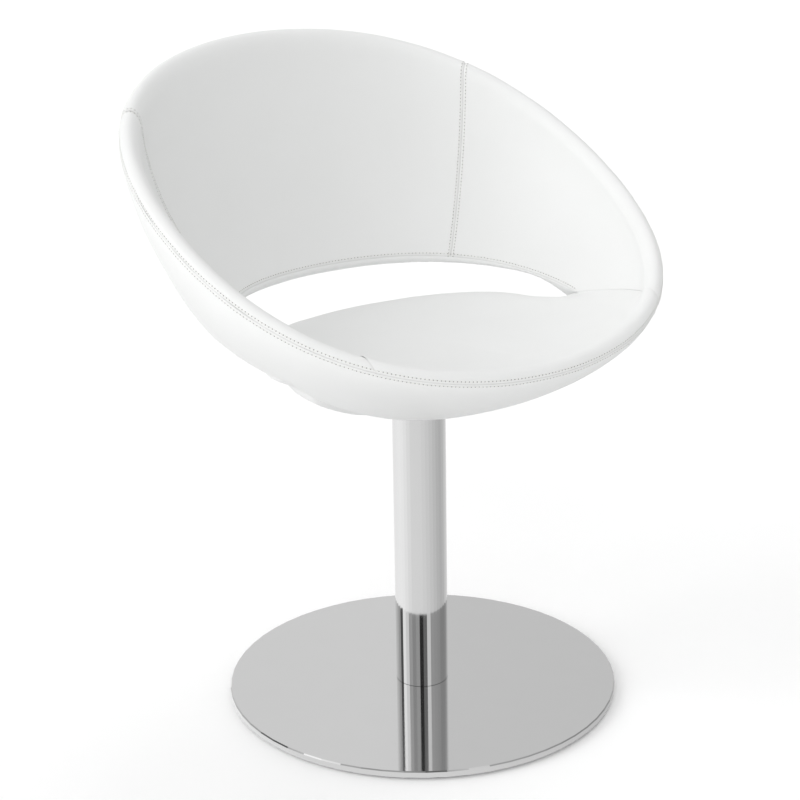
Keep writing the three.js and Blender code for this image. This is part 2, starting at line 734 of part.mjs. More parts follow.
function addBushes() {
  const flangeLow = COLUMN_TOP_Z + GAP;
  const flangeRadius = COLUMN_RADIUS - COLUMN_EDGE;
  const upper = [
    [bushInner, COLUMN_TOP_Z - BUSH_HEIGHT],
    [bushOuter, COLUMN_TOP_Z - BUSH_HEIGHT],
    [bushOuter, flangeLow],
    [flangeRadius, flangeLow],
    [flangeRadius, bushTop],
    [bushInner, bushTop],
    [bushInner, COLUMN_TOP_Z - BUSH_HEIGHT],
  ];
  add('upper_bush', turned(upper, TURNED_SEGMENTS), acetal());
  const lower = ring(bushInner, bushOuter, LOWER_BUSH_Z, LOWER_BUSH_Z + BUSH_HEIGHT, TURNED_SEGMENTS);
  add('lower_bush', lower, acetal());
}

function addBearing() {
  const raceAt = (z) => ring(RACE_INNER_RADIUS, RACE_OUTER_RADIUS, z, z + RACE_THICKNESS, TURNED_SEGMENTS);
  add('lower_race', raceAt(lowerRaceZ), steel());
  add('upper_race', raceAt(upperRaceZ), steel());
  const circle = (RACE_INNER_RADIUS + RACE_OUTER_RADIUS) / 2;
  const inner = circle - CAGE_WIDTH / 2;
  const outer = circle + CAGE_WIDTH / 2;
  add('ball_cage', cageWithBalls(inner, outer, circle), steel());
}

// The cage ring rises over each ball, so ring and balls make one wavy solid of revolution
function cageWithBalls(inner, outer, circle) {
  const count = BALL_COUNT * CAGE_STEPS_PER_BALL;
  const halfStep = CAGE_STEPS_PER_BALL / 2;
  const outlines = Array.from({ length: count }, (_, index) => {
    const turn = (index / count) * FULL_TURN;
    const aside = Math.abs(((index + halfStep) % CAGE_STEPS_PER_BALL) - halfStep) / CAGE_STEPS_PER_BALL;
    const reach = aside * (FULL_TURN / BALL_COUNT) * circle;
    const half = Math.max(CAGE_THICKNESS / 2, Math.sqrt(Math.max(0, BALL_RADIUS ** 2 - reach ** 2)));
    const radial = vector(Math.cos(turn), Math.sin(turn), 0);
    const at = (radius, z) => moved(radial.clone().multiplyScalar(radius), UP, ballZ + z);
    const low = CAGE_THICKNESS / 2;
    const shoulder = mix(low, half, CAGE_SHOULDER_SHARE);
    return [
      at(inner, -low),
      at(circle - BALL_RADIUS / 2, -shoulder),
      at(circle + BALL_RADIUS / 2, -shoulder),
      at(outer, -low),
      at(outer, low),
      at(circle + BALL_RADIUS / 2, shoulder),
      at(circle - BALL_RADIUS / 2, shoulder),
      at(inner, low),
    ];
  });
  return lofted(outlines, true);
}

function addSpindle() {
  const grooveRadius = SPINDLE_RADIUS - CLIP_GROOVE_DEPTH;
  const profile = [
    [0, SPINDLE_FOOT_Z],
    [SPINDLE_RADIUS - SPINDLE_CHAMFER, SPINDLE_FOOT_Z],
    [SPINDLE_RADIUS, SPINDLE_FOOT_Z + SPINDLE_CHAMFER],
    [SPINDLE_RADIUS, clipZ - GAP],
    [grooveRadius, clipZ - GAP],
    [grooveRadius, clipZ + CLIP_THICKNESS + GAP],
    [SPINDLE_RADIUS, clipZ + CLIP_THICKNESS + GAP],
    [SPINDLE_RADIUS, plateTop],
    [0, plateTop],
  ];
  add('spindle', turned(profile, TURNED_SEGMENTS), steel());
  const clipTop = clipZ + CLIP_THICKNESS;
  const clip = ring(grooveRadius + GAP, SPINDLE_RADIUS + CLIP_REACH, clipZ, clipTop, FIXING_SEGMENTS);
  add('spindle_clip', clip, steel());
}

// Mounting plate, arms and their bolts
function addMountingPlate() {
  const shape = new THREE.Shape().absarc(0, 0, PLATE_RADIUS, 0, FULL_TURN);
  shape.holes.push(new THREE.Path().absarc(0, 0, SPINDLE_RADIUS + GAP, 0, FULL_TURN, true));
  for (const angle of armAngles()) {
    const centre = polar(ARM_BOLT_CIRCLE, angle, 0);
    shape.holes.push(new THREE.Path().absarc(centre.x, centre.y, ARM_BOLT_RADIUS + GAP, 0, FULL_TURN, true));
  }
  const geometry = new THREE.ExtrudeGeometry(shape, {
    depth: PLATE_THICKNESS,
    bevelEnabled: false,
    curveSegments: PLATE_CURVE_STEPS,
  });
  geometry.translate(0, 0, plateZ);
  add('mounting_plate', merged(geometry), paintedSteel());
}

const armAngles = () =>
  Array.from({ length: ARM_COUNT }, (_, index) => ARM_FIRST_ANGLE + (index * FULL_TURN) / ARM_COUNT);

// The seat hoop keeps clear of the bowl in front and of the pan behind
const hoopFrontY = outerPoint(riseAtHeight(HOOP_Z, rimCentre(0).z, BOWL_BOTTOM_Z, 0), 0).y;
const hoopRearY = panPoint(0, panShareAt(HOOP_Z)).y;
const hoopCentreY = (hoopFrontY + hoopRearY) / 2;
const hoopRadius = (hoopRearY - hoopFrontY) / 2 - HOOP_WALL_CLEARANCE - HOOP_TUBE_RADIUS;

// How far the hoop's centre line is from the swivel axis along a direction
function hoopReach(angle) {
  const along = -hoopCentreY * Math.cos(angle);
  return along + Math.sqrt(hoopRadius ** 2 - (hoopCentreY * Math.sin(angle)) ** 2);
}

// Arms run from the plate up to the seat hoop, with tapped holes for their bolts
function addArms() {
  armAngles().forEach((angle, index) => {
    const low = plateTop + GAP;
    const high = HOOP_Z - ARM_THICKNESS / 2;
    const reach = hoopReach(angle) - HOOP_TUBE_RADIUS / 2;
    const side = new THREE.Shape();
    side.moveTo(ARM_INNER_RADIUS, low);
    side.lineTo(ARM_BEND_RADIUS, low);
    side.lineTo(reach, high);
    side.lineTo(reach, high + ARM_THICKNESS);
    side.lineTo(ARM_BEND_RADIUS - ARM_THICKNESS / 4, low + ARM_THICKNESS);
    side.lineTo(ARM_INNER_RADIUS, low + ARM_THICKNESS);
    const arm = new THREE.ExtrudeGeometry(side, { depth: ARM_WIDTH, bevelEnabled: false });
    arm.translate(0, 0, -ARM_WIDTH / 2);
    arm.rotateX(QUARTER_TURN);
    arm.rotateZ(angle - QUARTER_TURN);
    const centre = polar(ARM_BOLT_CIRCLE, angle, 0);
    const hole = roundBar(ARM_BOLT_RADIUS + GAP, plateZ, low + 2 * ARM_THICKNESS);
    hole.translate(centre.x, centre.y, 0);
    add(`frame_arm_${index + 1}`, cut(merged(arm), [seatHoop(GAP), hole]), paintedSteel());
    addArmBolt(centre, index, low);
  });
}

function roundBar(radius, low, high) {
  return merged(turned([[0, low], [radius, low], [radius, high], [0, high]], BOLT_SEGMENTS));
}

function addArmBolt(centre, index, armLow) {
  const headTop = plateZ - GAP;
  const headLow = headTop - ARM_BOLT_HEAD_HEIGHT;
  const tipZ = armLow + ARM_THICKNESS + ARM_BOLT_PROUD;
  const profile = [
    [0, headLow],
    [ARM_BOLT_HEAD_RADIUS, headLow],
    [ARM_BOLT_HEAD_RADIUS, headTop],
    [ARM_BOLT_RADIUS, headTop],
    [ARM_BOLT_RADIUS, tipZ],
    [0, tipZ],
  ];
  const bolt = add(`arm_bolt_${index + 1}`, turned(profile, BOLT_SEGMENTS), steel());
  bolt.position.copy(centre);
}

// Hoops and rods. A fatter copy of each hoop cuts the ends that meet it.
function seatHoop(extra) {
  const section = circlePoints(vector(0, 0, 0), vector(1, 0, 0), vector(0, 1, 0), HOOP_TUBE_RADIUS + extra);
  const profile = [...section, section[0]].map((point) => [hoopRadius + point.x, HOOP_Z + point.y]);
  return merged(turned(profile, HOOP_SEGMENTS)).translate(0, hoopCentreY, 0);
}

const rimHoop = (extra) => closedRod(rimCentre, RIM_ROD_STEPS, RIM_ROD_RADIUS + extra);

function bandBar(extra) {
  const start = TIP_ANGLE + BAND_BAR_START;
  const angles = steps(BAR_POINTS).map((share) => unwrapped(mix(start, FULL_TURN - start, share)));
  const points = angles.map((angle) => bandRoll(angle).centre);
  return rod(points, BAND_ROD_RADIUS + extra, BAR_STEPS);
}

function addHoops() {
  add('seat_hoop', seatHoop(0), paintedSteel());
  add('rim_hoop', rimHoop(0), paintedSteel());
  add('band_bar', bandBar(0), paintedSteel());
}

// A link runs inside the wall from a lower rod up to the rim hoop
function linkRod(low, lowRise, link, lowHoop) {
  const inWall = (share) => {
    const rise = mix(lowRise, QUARTER_TURN, share);
    return mixed(outerPoint(rise, link.angle), innerPoint(rise, link.angle), link.depthShare);
  };
  const path = [low, ...LINK_SHARES.map(inWall), rimCentre(link.angle)];
  return cut(rod(path, LINK_ROD_RADIUS, LINK_STEPS), [rimHoop(GAP), lowHoop]);
}

function addUprights() {
  UPRIGHTS.forEach((link, index) => {
    const lowRise = (slotInnerRise(link.angle) + slotOuterRise(link.angle)) / 2;
    const upright = linkRod(bandRoll(link.angle).centre, lowRise, link, bandBar(GAP));
    add(`back_upright_${index + 1}`, upright, paintedSteel());
  });
}

function addStruts() {
  const mirroredLink = (link) => ({ ...link, angle: -link.angle });
  const links = [FRONT_STRUT, SIDE_STRUT, mirroredLink(SIDE_STRUT), mirroredLink(FRONT_STRUT)];
  links.forEach((link, index) => {
    const edge = lipPoint(link.angle, 0, LIP_RADIUS);
    const heading = Math.atan2(edge.x, -edge.y);
    const low = polar(hoopReach(heading), heading, HOOP_Z);
    const lowRise = riseAtShare(Math.hypot(low.x, low.y) / Math.hypot(edge.x, edge.y), link.angle);
    add(`side_strut_${index + 1}`, linkRod(low, lowRise, link, seatHoop(GAP)), paintedSteel());
  });
}

// Webbing straps over the seat hoop
function addWebbing() {
  for (let index = 0; index < STRAP_COUNT; index += 1) {
    const offset = (index - (STRAP_COUNT - 1) / 2) * STRAP_PITCH;
    const half = Math.sqrt(hoopRadius ** 2 - (Math.abs(offset) + STRAP_WIDTH / 2) ** 2);
    const low = HOOP_Z + HOOP_TUBE_RADIUS + GAP;
    const section = (share) => {
      const x = mix(-half, half, share);
      const z = low - STRAP_SAG * Math.sin(Math.PI * share);
      const y = hoopCentreY + offset;
      const near = y - STRAP_WIDTH / 2;
      const far = y + STRAP_WIDTH / 2;
      const top = z + STRAP_THICKNESS;
      return [vector(x, near, z), vector(x, far, z), vector(x, far, top), vector(x, near, top)];
    };
    add(`webbing_strap_${index + 1}`, lofted(steps(STRAP_STEPS).map(section), false), webbing());
  }
}

// Angles round the rim at which the panels are divided
const seamTurn = SEAM_GAP / 2 / RIM_HALF_DEPTH;
const spread = (first, last, count) => steps(count).map((share) => mix(first, last, share));
const seamToTipAngles = spread(SIDE_SEAM_INNER_ANGLE + seamTurn, TIP_ANGLE, SEAM_TO_TIP_COLUMNS);
const sideAngles = spread(TIP_ANGLE, BACK_SEAM_ANGLE - seamTurn, SIDE_COLUMNS);
const backAngles = spread(BACK_SEAM_ANGLE + seamTurn, FULL_TURN - BACK_SEAM_ANGLE - seamTurn, BACK_COLUMNS);
const frontAngles = spread(-SIDE_SEAM_INNER_ANGLE, SIDE_SEAM_INNER_ANGLE, FRONT_COLUMNS);

// From the left slot tip through the front to the right tip, then round the back to the left tip
const outsideAngles = spread(SIDE_SEAM_INNER_ANGLE, OUTER_TIP_ANGLE, SEAM_TO_TIP_COLUMNS).slice(1);
const apronAngles = [...outsideAngles.map((angle) => -angle).toReversed(), ...frontAngles, ...outsideAngles];
const bandAngles = [
  ...sideAngles,
  ...backAngles.slice(1, -1),
  ...sideAngles.map((angle) => FULL_TURN - angle).toReversed(),
];
const outerBandAngles = bandAngles.map((angle) => outerBandAngle(unwrapped(angle)));
const ringAngles = [...apronAngles.slice(0, -1), ...outerBandAngles.slice(0, -1)];

function rimSeamRise(angle) {
  const edgeZ = rimCentre(angle).z;
  return riseAtHeight(edgeZ - 2 * SEAM_GAP, edgeZ, BOWL_BOTTOM_Z, angle);
}

// Leather panels
function outerSheet() {
  const sheet = new Sheet();
  const ringPoint = (row, column) => {
    const angle = ringAngles[column];
    return outerPoint(mix(rimSeamRise(angle), slotOuterRise(angle), row / RING_ROWS), angle);
  };
  sheet.grid('ring', RING_ROWS, ringAngles.length, ringPoint, true);
  apronAngles.forEach((_, column) => sheet.share('apron', column, RING_ROWS, column));
  bandAngles.forEach((_, column) => {
    const ringColumn = (apronAngles.length - 1 + column) % ringAngles.length;
    sheet.share('roll', column, RING_ROWS, ringColumn);
  });
  sheet.grid('apron', APRON_ROWS, apronAngles.length - 1, (row, column) => {
    const angle = apronAngles[column];
    return outerPoint(mix(slotOuterRise(angle), riseAtShare(BELLY_SHARE, angle), row / APRON_ROWS), angle);
  });
  return sheet.grid('roll', ROLL_ROWS, bandAngles.length - 1, (row, column) =>
    bandRollPoint(unwrapped(bandAngles[column]), (row / ROLL_ROWS) * Math.PI * ROLL_END_SHARE));
}

// Lip and inner wall, from the rim seam down to the slot's stitch line or the side seam
function wallPoint(angle, row, lowRise) {
  if (row <= LIP_ROWS) return lipPoint(angle, mix(SEAM_TURN_UP, Math.PI, row / LIP_ROWS), LIP_RADIUS);
  return innerPoint(mix(QUARTER_TURN, lowRise, (row - LIP_ROWS) / WALL_ROWS), angle);
}

function backSheet() {
  const sheet = new Sheet().grid('wall', LIP_ROWS + WALL_ROWS, backAngles.length - 1, (row, column) => {
    const angle = unwrapped(backAngles[column]);
    return wallPoint(angle, row, stitchedRise(angle));
  });
  return sheet.flipped();
}

const stitchedRise = (angle) => innerRiseAt(slotEdgeZ(angle) + 2 * SEAM_GAP, angle);

function sideSheet() {
  const angles = [...seamToTipAngles, ...sideAngles.slice(1)];
  const sheet = new Sheet().grid('wall', LIP_ROWS + WALL_ROWS, angles.length - 1, (row, column) => {
    const skew = (SIDE_SEAM_INNER_ANGLE - SIDE_SEAM_OUTER_ANGLE) * (1 - Math.min(1, row / LIP_ROWS));
    const angle = angles[column] - skew * Math.max(0, 1 - column / SKEWED_COLUMNS);
    const lowRise = column < SEAM_TO_TIP_COLUMNS ? sideSeamRise(angle) : stitchedRise(angle);
    return wallPoint(angle, row, lowRise);
  });
  return sheet.flipped();
}

function sideSeamRise(angle) {
  const share = (TIP_ANGLE - angle) / (TIP_ANGLE - SIDE_SEAM_INNER_ANGLE);
  const seamZ = mix(SLOT_TIP_Z, rimCentre(SIDE_SEAM_INNER_ANGLE).z, share) + 2 * SEAM_GAP;
  return innerRiseAt(Math.min(seamZ, rimCentre(angle).z - SEAM_GAP), angle);
}

const seatSides = steps(SEAT_COLUMNS).map((share) => Math.sin(mix(-QUARTER_TURN, QUARTER_TURN, share)));
const seatEdgeShare = 1 - (2 * SEAM_GAP) / seatTip.x;
const seatAheads = steps(SEAT_ROWS).map((share) => 1 - (1 - share) ** SEAT_ROW_POWER);

function seatSheet() {
  return new Sheet().grid('seat', SEAT_ROLL_ROWS + SEAT_ROWS + LIP_ROWS, SEAT_COLUMNS, (row, column) => {
    const side = seatSides[column] * seatEdgeShare;
    const rollTurn = mix(SEAT_ROLL_END, QUARTER_TURN, row / SEAT_ROLL_ROWS);
    if (row < SEAT_ROLL_ROWS) return seatRollPoint(side, rollTurn);
    if (row <= SEAT_ROLL_ROWS + SEAT_ROWS) return seatPoint(side, seatAheads[row - SEAT_ROLL_ROWS]);
    const lip = (row - SEAT_ROLL_ROWS - SEAT_ROWS) / LIP_ROWS;
    const angle = side * mix(SIDE_SEAM_INNER_ANGLE, SIDE_SEAM_OUTER_ANGLE, lip);
    return lipPoint(angle, mix(lipStart(side), SEAM_TURN_UP, lip), LIP_RADIUS);
  });
}

function panSheet() {
  const panAt = (row, column) => {
    const share = mix(PAN_START_SHARE, 1, row / PAN_ROWS);
    return panPoint(seatSides[column] * seatEdgeShare, share);
  };
  return new Sheet().grid('pan', PAN_ROWS, SEAT_COLUMNS, panAt).flipped();
}

function mirrored(sheet) {
  const copy = new Sheet();
  copy.keys = sheet.keys;
  copy.points = sheet.points.map(mirroredPoint);
  copy.faces = sheet.faces;
  return copy.flipped();
}

const outerLeather = outerSheet();
const backLeather = backSheet();
const sideLeather = sideSheet();
const seatLeather = seatSheet();
const panLeather = panSheet();

function addCovers() {
  add('outer_cover', thickened(outerLeather, COVER_THICKNESS), leather());
  add('back_cover', thickened(backLeather, COVER_THICKNESS), leather());
  add('right_side_cover', thickened(sideLeather, COVER_THICKNESS), leather());
  add('left_side_cover', thickened(mirrored(sideLeather), COVER_THICKNESS), leather());
  add('seat_cover', thickened(seatLeather, COVER_THICKNESS), leather());
  add('pan_cover', thickened(panLeather, COVER_THICKNESS), leather());
}

function addDustCover() {
  const hole = COLUMN_RADIUS + DUST_COVER_HOLE_GAP;
  const sheet = new Sheet().grid('dust', DUST_COVER_ROWS, DUST_COVER_COLUMNS, (row, column) => {
    const angle = unwrapped((column / DUST_COVER_COLUMNS) * FULL_TURN);
    const inner = polar(hole, angle, DUST_COVER_Z);
    const outer = bellyPoint(angle);
    const flat = Math.hypot(outer.x, outer.y);
    const share = 1 - DUST_COVER_EDGE_GAP / flat;
    return mixed(vector(outer.x * share, outer.y * share, outer.z), inner, row / DUST_COVER_ROWS);
  }, true);
  add('dust_cover', thickened(sheet, COVER_THICKNESS), webbing());
}

// Foam. Its outline follows the leather's own points, so the two stay parallel.
const channelTurns = steps(CHANNEL_SIDES).map((share) => share * Math.PI);
const channelCorner = Math.cos(Math.PI / CHANNEL_SIDES / 2);
const range = (first, last) =>
  Array.from({ length: Math.abs(last - first) + 1 }, (_, index) => first + index * Math.sign(last - first));

function rimChannel(angle) {
  const radius = (RIM_ROD_RADIUS + ROD_CHANNEL_GAP) / channelCorner;
  return channelTurns.toReversed().map((turn) => lipPoint(angle, turn, radius));
}

function bandChannel(angle) {
  const roll = bandRoll(angle);
  const across = moved(roll.side, roll.down, -roll.side.dot(roll.down)).normalize();
  const radius = (BAND_ROD_RADIUS + 2 * GAP) / channelCorner;
  return channelTurns.map((turn) =>
    moved(moved(roll.centre, across, -radius * Math.cos(turn)), roll.down, radius * Math.sin(turn)));
}

// The band's foam is open to the outside, round the rim hoop, the uprights and the band bar
function backFoamOutline(angle, sheet, column) {
  const under = (row, depth) => sheet.under('wall', row, column, depth);
  const seam = under(0, FOAM_INSET + SEAM_ALLOWANCE);
  const inside = range(1, LIP_ROWS + WALL_ROWS).map((row) => under(row, FOAM_INSET));
  const backRows = range(LIP_ROWS + WALL_ROWS - 1, LIP_ROWS + 1);
  const ringColumn = bandAngles.findIndex((other) => Math.abs(other - angle) < seamTurn * 3);
  const roll = range(ROLL_ROWS - 1, 0).map((row) => outerLeather.under('roll', row, ringColumn, FOAM_INSET));
  const back = backRows.map((row) => under(row, WALL_FOAM_DEPTH));
  const bandRod = bandChannel(unwrapped(angle));
  return [seam, ...inside, ...roll, ...bandRod, ...back, ...rimChannel(unwrapped(angle))];
}

function addBackFoam() {
  const rightColumns = range(BACK_FOAM_FIRST_COLUMN, SIDE_COLUMNS);
  const right = rightColumns.map((column) =>
    backFoamOutline(sideAngles[column], sideLeather, SEAM_TO_TIP_COLUMNS + column));
  const backColumns = range(1, BACK_COLUMNS - 1);
  const back = backColumns.map((column) => backFoamOutline(backAngles[column], backLeather, column));
  const left = right.map((outline) => outline.map(mirroredPoint)).toReversed();
  add('back_foam', lofted([...right, ...back, ...left], false), foam());
}

// The front foam caps the rim hoop, with a leg down the inner wall at the sides and a short skirt outside
function sideFoamOutline(column) {
  const under = (row, depth) => sideLeather.under('wall', row, column, depth);
  const angle = seamToTipAngles[column];
  const last = LIP_ROWS + WALL_ROWS;
  const middle = LIP_ROWS + SIDE_LEG_ROW;
  const seam = under(0, FOAM_INSET + SEAM_ALLOWANCE);
  const inside = range(1, last - 1).map((row) => under(row, FOAM_INSET));
  const endAt = (depth) => mixed(under(last - 1, depth), under(last, depth), SIDE_LEG_END_SHARE);
  const up = [endAt(FOAM_INSET), endAt(WALL_FOAM_DEPTH), under(middle, WALL_FOAM_DEPTH)];
  return [seam, ...inside, ...up, ...rimChannel(angle), ...skirtAt(angle)];
}

function seatEndOutline(column) {
  const under = (row, depth) => seatLeather.under('seat', row, column, depth);
  const lipRow = SEAT_ROLL_ROWS + SEAT_ROWS;
  const angle = seatSides[column] * SIDE_SEAM_INNER_ANGLE;
  const far = under(lipRow - 1, FOAM_INSET + GAP);
  const below = moved(far, UP, -LIP_BLOCK_DEPTH);
  const inner = moved(lipPoint(angle, Math.PI, LIP_RADIUS), UP, -LIP_BLOCK_DEPTH / 2);
  const down = steps(WALL_ROWS - 1).map((share) => mixed(far, below, share));
  const back = steps(2).slice(1).map((share) => mixed(below, inner, share));
  const seam = under(lipRow + LIP_ROWS, FOAM_INSET + SEAM_ALLOWANCE);
  const lip = [seam, ...range(lipRow + LIP_ROWS - 1, lipRow).map((row) => under(row, FOAM_INSET + GAP))];
  return [...lip, ...down, ...back, ...rimChannel(angle), ...skirtAt(angle)];
}

function skirtAt(angle) {
  const rise = mix(rimSeamRise(angle), slotOuterRise(angle), SKIRT_DROP_SHARE);
  const outer = outerPoint(rise, angle);
  const inward = directionTo(outer, lipPoint(angle, Math.PI, LIP_RADIUS));
  return [SKIRT_DEPTH, SKIRT_EDGE_DEPTH].map((depth) => moved(outer, inward, FOAM_INSET + depth));
}

function addFrontFoam() {
  const right = range(1, SEAM_TO_TIP_COLUMNS).map(sideFoamOutline);
  const left = right.map((outline) => outline.map(mirroredPoint)).toReversed();
  const middle = range(1, SEAT_COLUMNS - 1).map(seatEndOutline);
  add('front_foam', lofted([...left, ...middle, ...right], false), foam());
}

function seatFoamBottom(top, side, ahead) {
  const fullness = (1 - side * side) * (1 - ahead * ahead);
  const shallow = top.z - SEAT_EDGE_FOAM;
  return vector(top.x, top.y, mix(shallow, Math.min(shallow, SEAT_FOAM_FLOOR_Z), fullness));
}

function seatFoamOutline(column) {
  const under = (row) => seatLeather.under('seat', row, column, FOAM_INSET + GAP);
  const lastRow = SEAT_ROLL_ROWS + SEAT_ROWS - 1;
  const beforeEnd = under(lastRow - 1);
  const end = moved(under(lastRow), directionTo(under(lastRow), beforeEnd), SEAT_FOAM_END_GAP);
  const top = [...range(0, lastRow - 1).map(under), end];
  const bottomRows = [lastRow, lastRow - 2, lastRow - 4, SEAT_ROLL_ROWS + 1];
  const bottom = bottomRows.map((row) =>
    seatFoamBottom(row === lastRow ? end : under(row), seatSides[column], seatAheads[row - SEAT_ROLL_ROWS]));
  return [...top, ...bottom];
}

function addSeatFoam() {
  add('seat_foam', lofted(range(1, SEAT_COLUMNS - 1).map(seatFoamOutline), false), foam());
}

// Moulded board behind the leather of the front bowl
function addFrontBoard() {
  const rows = RING_ROWS + APRON_ROWS - 1;
  const at = (row, column) => {
    const inside = column + 1;
    if (row + 1 <= RING_ROWS) return outerLeather.under('ring', row + 1, inside, FOAM_INSET);
    return outerLeather.under('apron', row + 1 - RING_ROWS, inside, FOAM_INSET);
  };
  const sheet = new Sheet().grid('board', rows, apronAngles.length - 3, at);
  add('front_board', thickened(sheet, BOARD_THICKNESS), mouldedBoard());
}

function addPanBoard() {
  const at = (row, column) => panLeather.under('pan', row + 1, column + 1, FOAM_INSET);
  const sheet = new Sheet().grid('board', PAN_ROWS - 1, SEAT_COLUMNS - 2, at).flipped();
  add('pan_board', thickened(sheet, BOARD_THICKNESS), mouldedBoard());
}

addFloorPad();
addBaseDisc();
addBaseFixings();
addColumn();
addBushes();
addBearing();
addSpindle();
addMountingPlate();
addArms();
addHoops();
addUprights();
addStruts();
addWebbing();
addSeatFoam();
addFrontFoam();
addBackFoam();
addFrontBoard();
addPanBoard();
addCovers();
addDustCover();

export default chair;
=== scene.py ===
# Barrel chair on a round plate: leather panels, seams, finishes, light and camera
import math

import bpy
import numpy as np
from mathutils import Matrix, Vector


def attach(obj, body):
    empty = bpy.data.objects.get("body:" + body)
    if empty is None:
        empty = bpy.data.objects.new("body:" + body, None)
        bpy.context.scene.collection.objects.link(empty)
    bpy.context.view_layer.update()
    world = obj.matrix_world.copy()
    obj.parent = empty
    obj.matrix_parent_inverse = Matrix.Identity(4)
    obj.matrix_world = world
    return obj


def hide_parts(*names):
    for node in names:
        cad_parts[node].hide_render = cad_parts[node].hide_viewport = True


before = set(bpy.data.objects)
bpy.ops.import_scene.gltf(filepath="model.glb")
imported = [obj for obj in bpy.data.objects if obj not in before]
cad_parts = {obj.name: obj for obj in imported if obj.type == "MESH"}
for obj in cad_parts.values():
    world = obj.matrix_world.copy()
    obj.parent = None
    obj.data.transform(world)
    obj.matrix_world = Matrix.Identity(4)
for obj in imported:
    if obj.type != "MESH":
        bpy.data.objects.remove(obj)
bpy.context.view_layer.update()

MM = 0.001
DEGREE = math.pi / 180
QUARTER_TURN = math.pi / 2
MIRROR = np.array([-1, 1, 1])
EDGES = ("top", "bottom", "left", "right")

# Shape of the chair in millimetres and radians, as in the CAD
RIM_HALF_WIDTH = 282
RIM_HALF_DEPTH = 264
RIM_CENTRE_Y = 38
RIM_CENTRE_Z = 582.4
RIM_RISE = 137
RIM_FULLNESS = 0.135
LIP_RADIUS = 11
LIP_ARC = LIP_RADIUS * math.pi
BOWL_POWER = 1.68
BOWL_POWER_SWING = 0.27
BOWL_BOTTOM_Z = 343.5
INNER_BOTTOM_Z = 373.5
BELLY_SHARE = 0.3
WALL_WAVE = 3.6
TIP_ANGLE = 70 * DEGREE
BACK_SEAM_ANGLE = 129.5 * DEGREE
SEAM_INNER_ANGLE = 41 * DEGREE
SEAM_OUTER_ANGLE = 36 * DEGREE
SEAM_SKEW_REACH = 11.6 * DEGREE
SLOT_TIP_Z = 452
SLOT_BACK_Z = 467
SLOT_EDGE_POWER = 3
OUTER_TIP_ANGLE = 64 * DEGREE
OUTER_TIP_Z = 435
OUTER_LEVEL_ANGLE = 72 * DEGREE
OUTER_JOIN_ANGLE = 98 * DEGREE
EDGE_BULGE = 5
EDGE_BULGE_ANGLE = 98 * DEGREE
EDGE_BULGE_SPREAD = 16 * DEGREE
EDGE_BULGE_RISE = 52 * DEGREE
EDGE_BULGE_RISE_SPREAD = 11 * DEGREE
BAND_ROLL_DEPTH = 13
BAND_ROLL_TIP_DEPTH = 1
BAND_ROLL_SLOPE_TURN = 4 * DEGREE
CREST_CENTRE_Y = -90
CREST_DEPTH = 230
SEAT_BACK_Z = 426.5
SEAT_TIP_DROP = 7
SEAT_CREST_POWER = 6
SEAT_SIDE_POWER = 3.7
SEAT_CROWN = 4
SEAT_ROLL_RADIUS = 12
SEAT_ROLL_TIP_SHARE = 0.9
SEAT_ROLL_END = -70 * DEGREE
SEAT_RISE_POWER = 3
LIP_START_ANGLE = 112 * DEGREE
LIP_END_ANGLE = 178 * DEGREE
PAN_POWER = 1.3
PAN_TUCK_SHARE = 0.12
PAN_TUCK_CENTRE = 0.24
PAN_TUCK_SPREAD = 0.13
HOOP_Z = 395
HOOP_TUBE_RADIUS = 6
HOOP_WALL_CLEARANCE = 27
STRAP_WIDTH = 34
STRAP_PITCH = 42
STRAP_THICKNESS = 2
STRAP_SAG = 5
STRAP_COUNT = 5
CUT_GAP = 0.3
DUST_COVER_Z = 351
DUST_COVER_HOLE_RADIUS = 33.65
DUST_COVER_EDGE_GAP = 2.5
DUST_COVER_SAG = 1.5

# Grids: how far each stretch of leather runs in them, and how many rows or columns it gets
COARSE_STEP = 3.0
WALL_RUN = 265
ROLL_ARC = SEAT_ROLL_RADIUS * (QUARTER_TURN - SEAT_ROLL_END)
SEAT_RUN = 385
FRONT_ARC = 30
SEAT_WIDTH = 470
ROLL_ROWS = 14
PAN_RUN = 120
PAN_STEP = 4
PAN_COLUMNS = 110
RETURN_WIDTH = 30
RETURN_COLUMNS = 12
TIP_ROWS = 14
TIP_COLUMNS = 7
RING_RUN = 190
APRON_RUN = 120
APRON_ROWS = 34
ROLL_RUN = 40
ROLL_STEP = 2.5
FRONT_COLUMNS = 190
BAND_COLUMNS = 320
DUST_COLUMNS = 145
DUST_ROWS = 16
STRAP_COLUMNS = 90
STRAP_ROWS = 18
STRAP_RIBS = 8
STRAP_RIB_HEIGHT = 0.15

# Small amounts that keep a height or an angle off its limit
BELOW_RIM = 0.01
SKEW_FLOOR = 0.05

# Where the leather swells or climbs away from the CAD's surface
SEAM_CLIMB_POWER = 18
REAR_RISE_SIDES = (0, 0.1, 0.2, 0.3, 0.42, 0.55, 0.64, 0.73, 0.80, 0.86, 0.93, 1)
REAR_RISES = (1.2, 1.5, 2.6, 4.8, 6.8, 7.9, 6.8, 4.8, 0.8, -3.2, -2.5, 0)
REAR_RISE_STEPS = 401
REAR_RISE_REACH = 110
REAR_RISE_PASSES = 160
PAN_END_SWELL = 1.3
PAN_END_REACH = 14

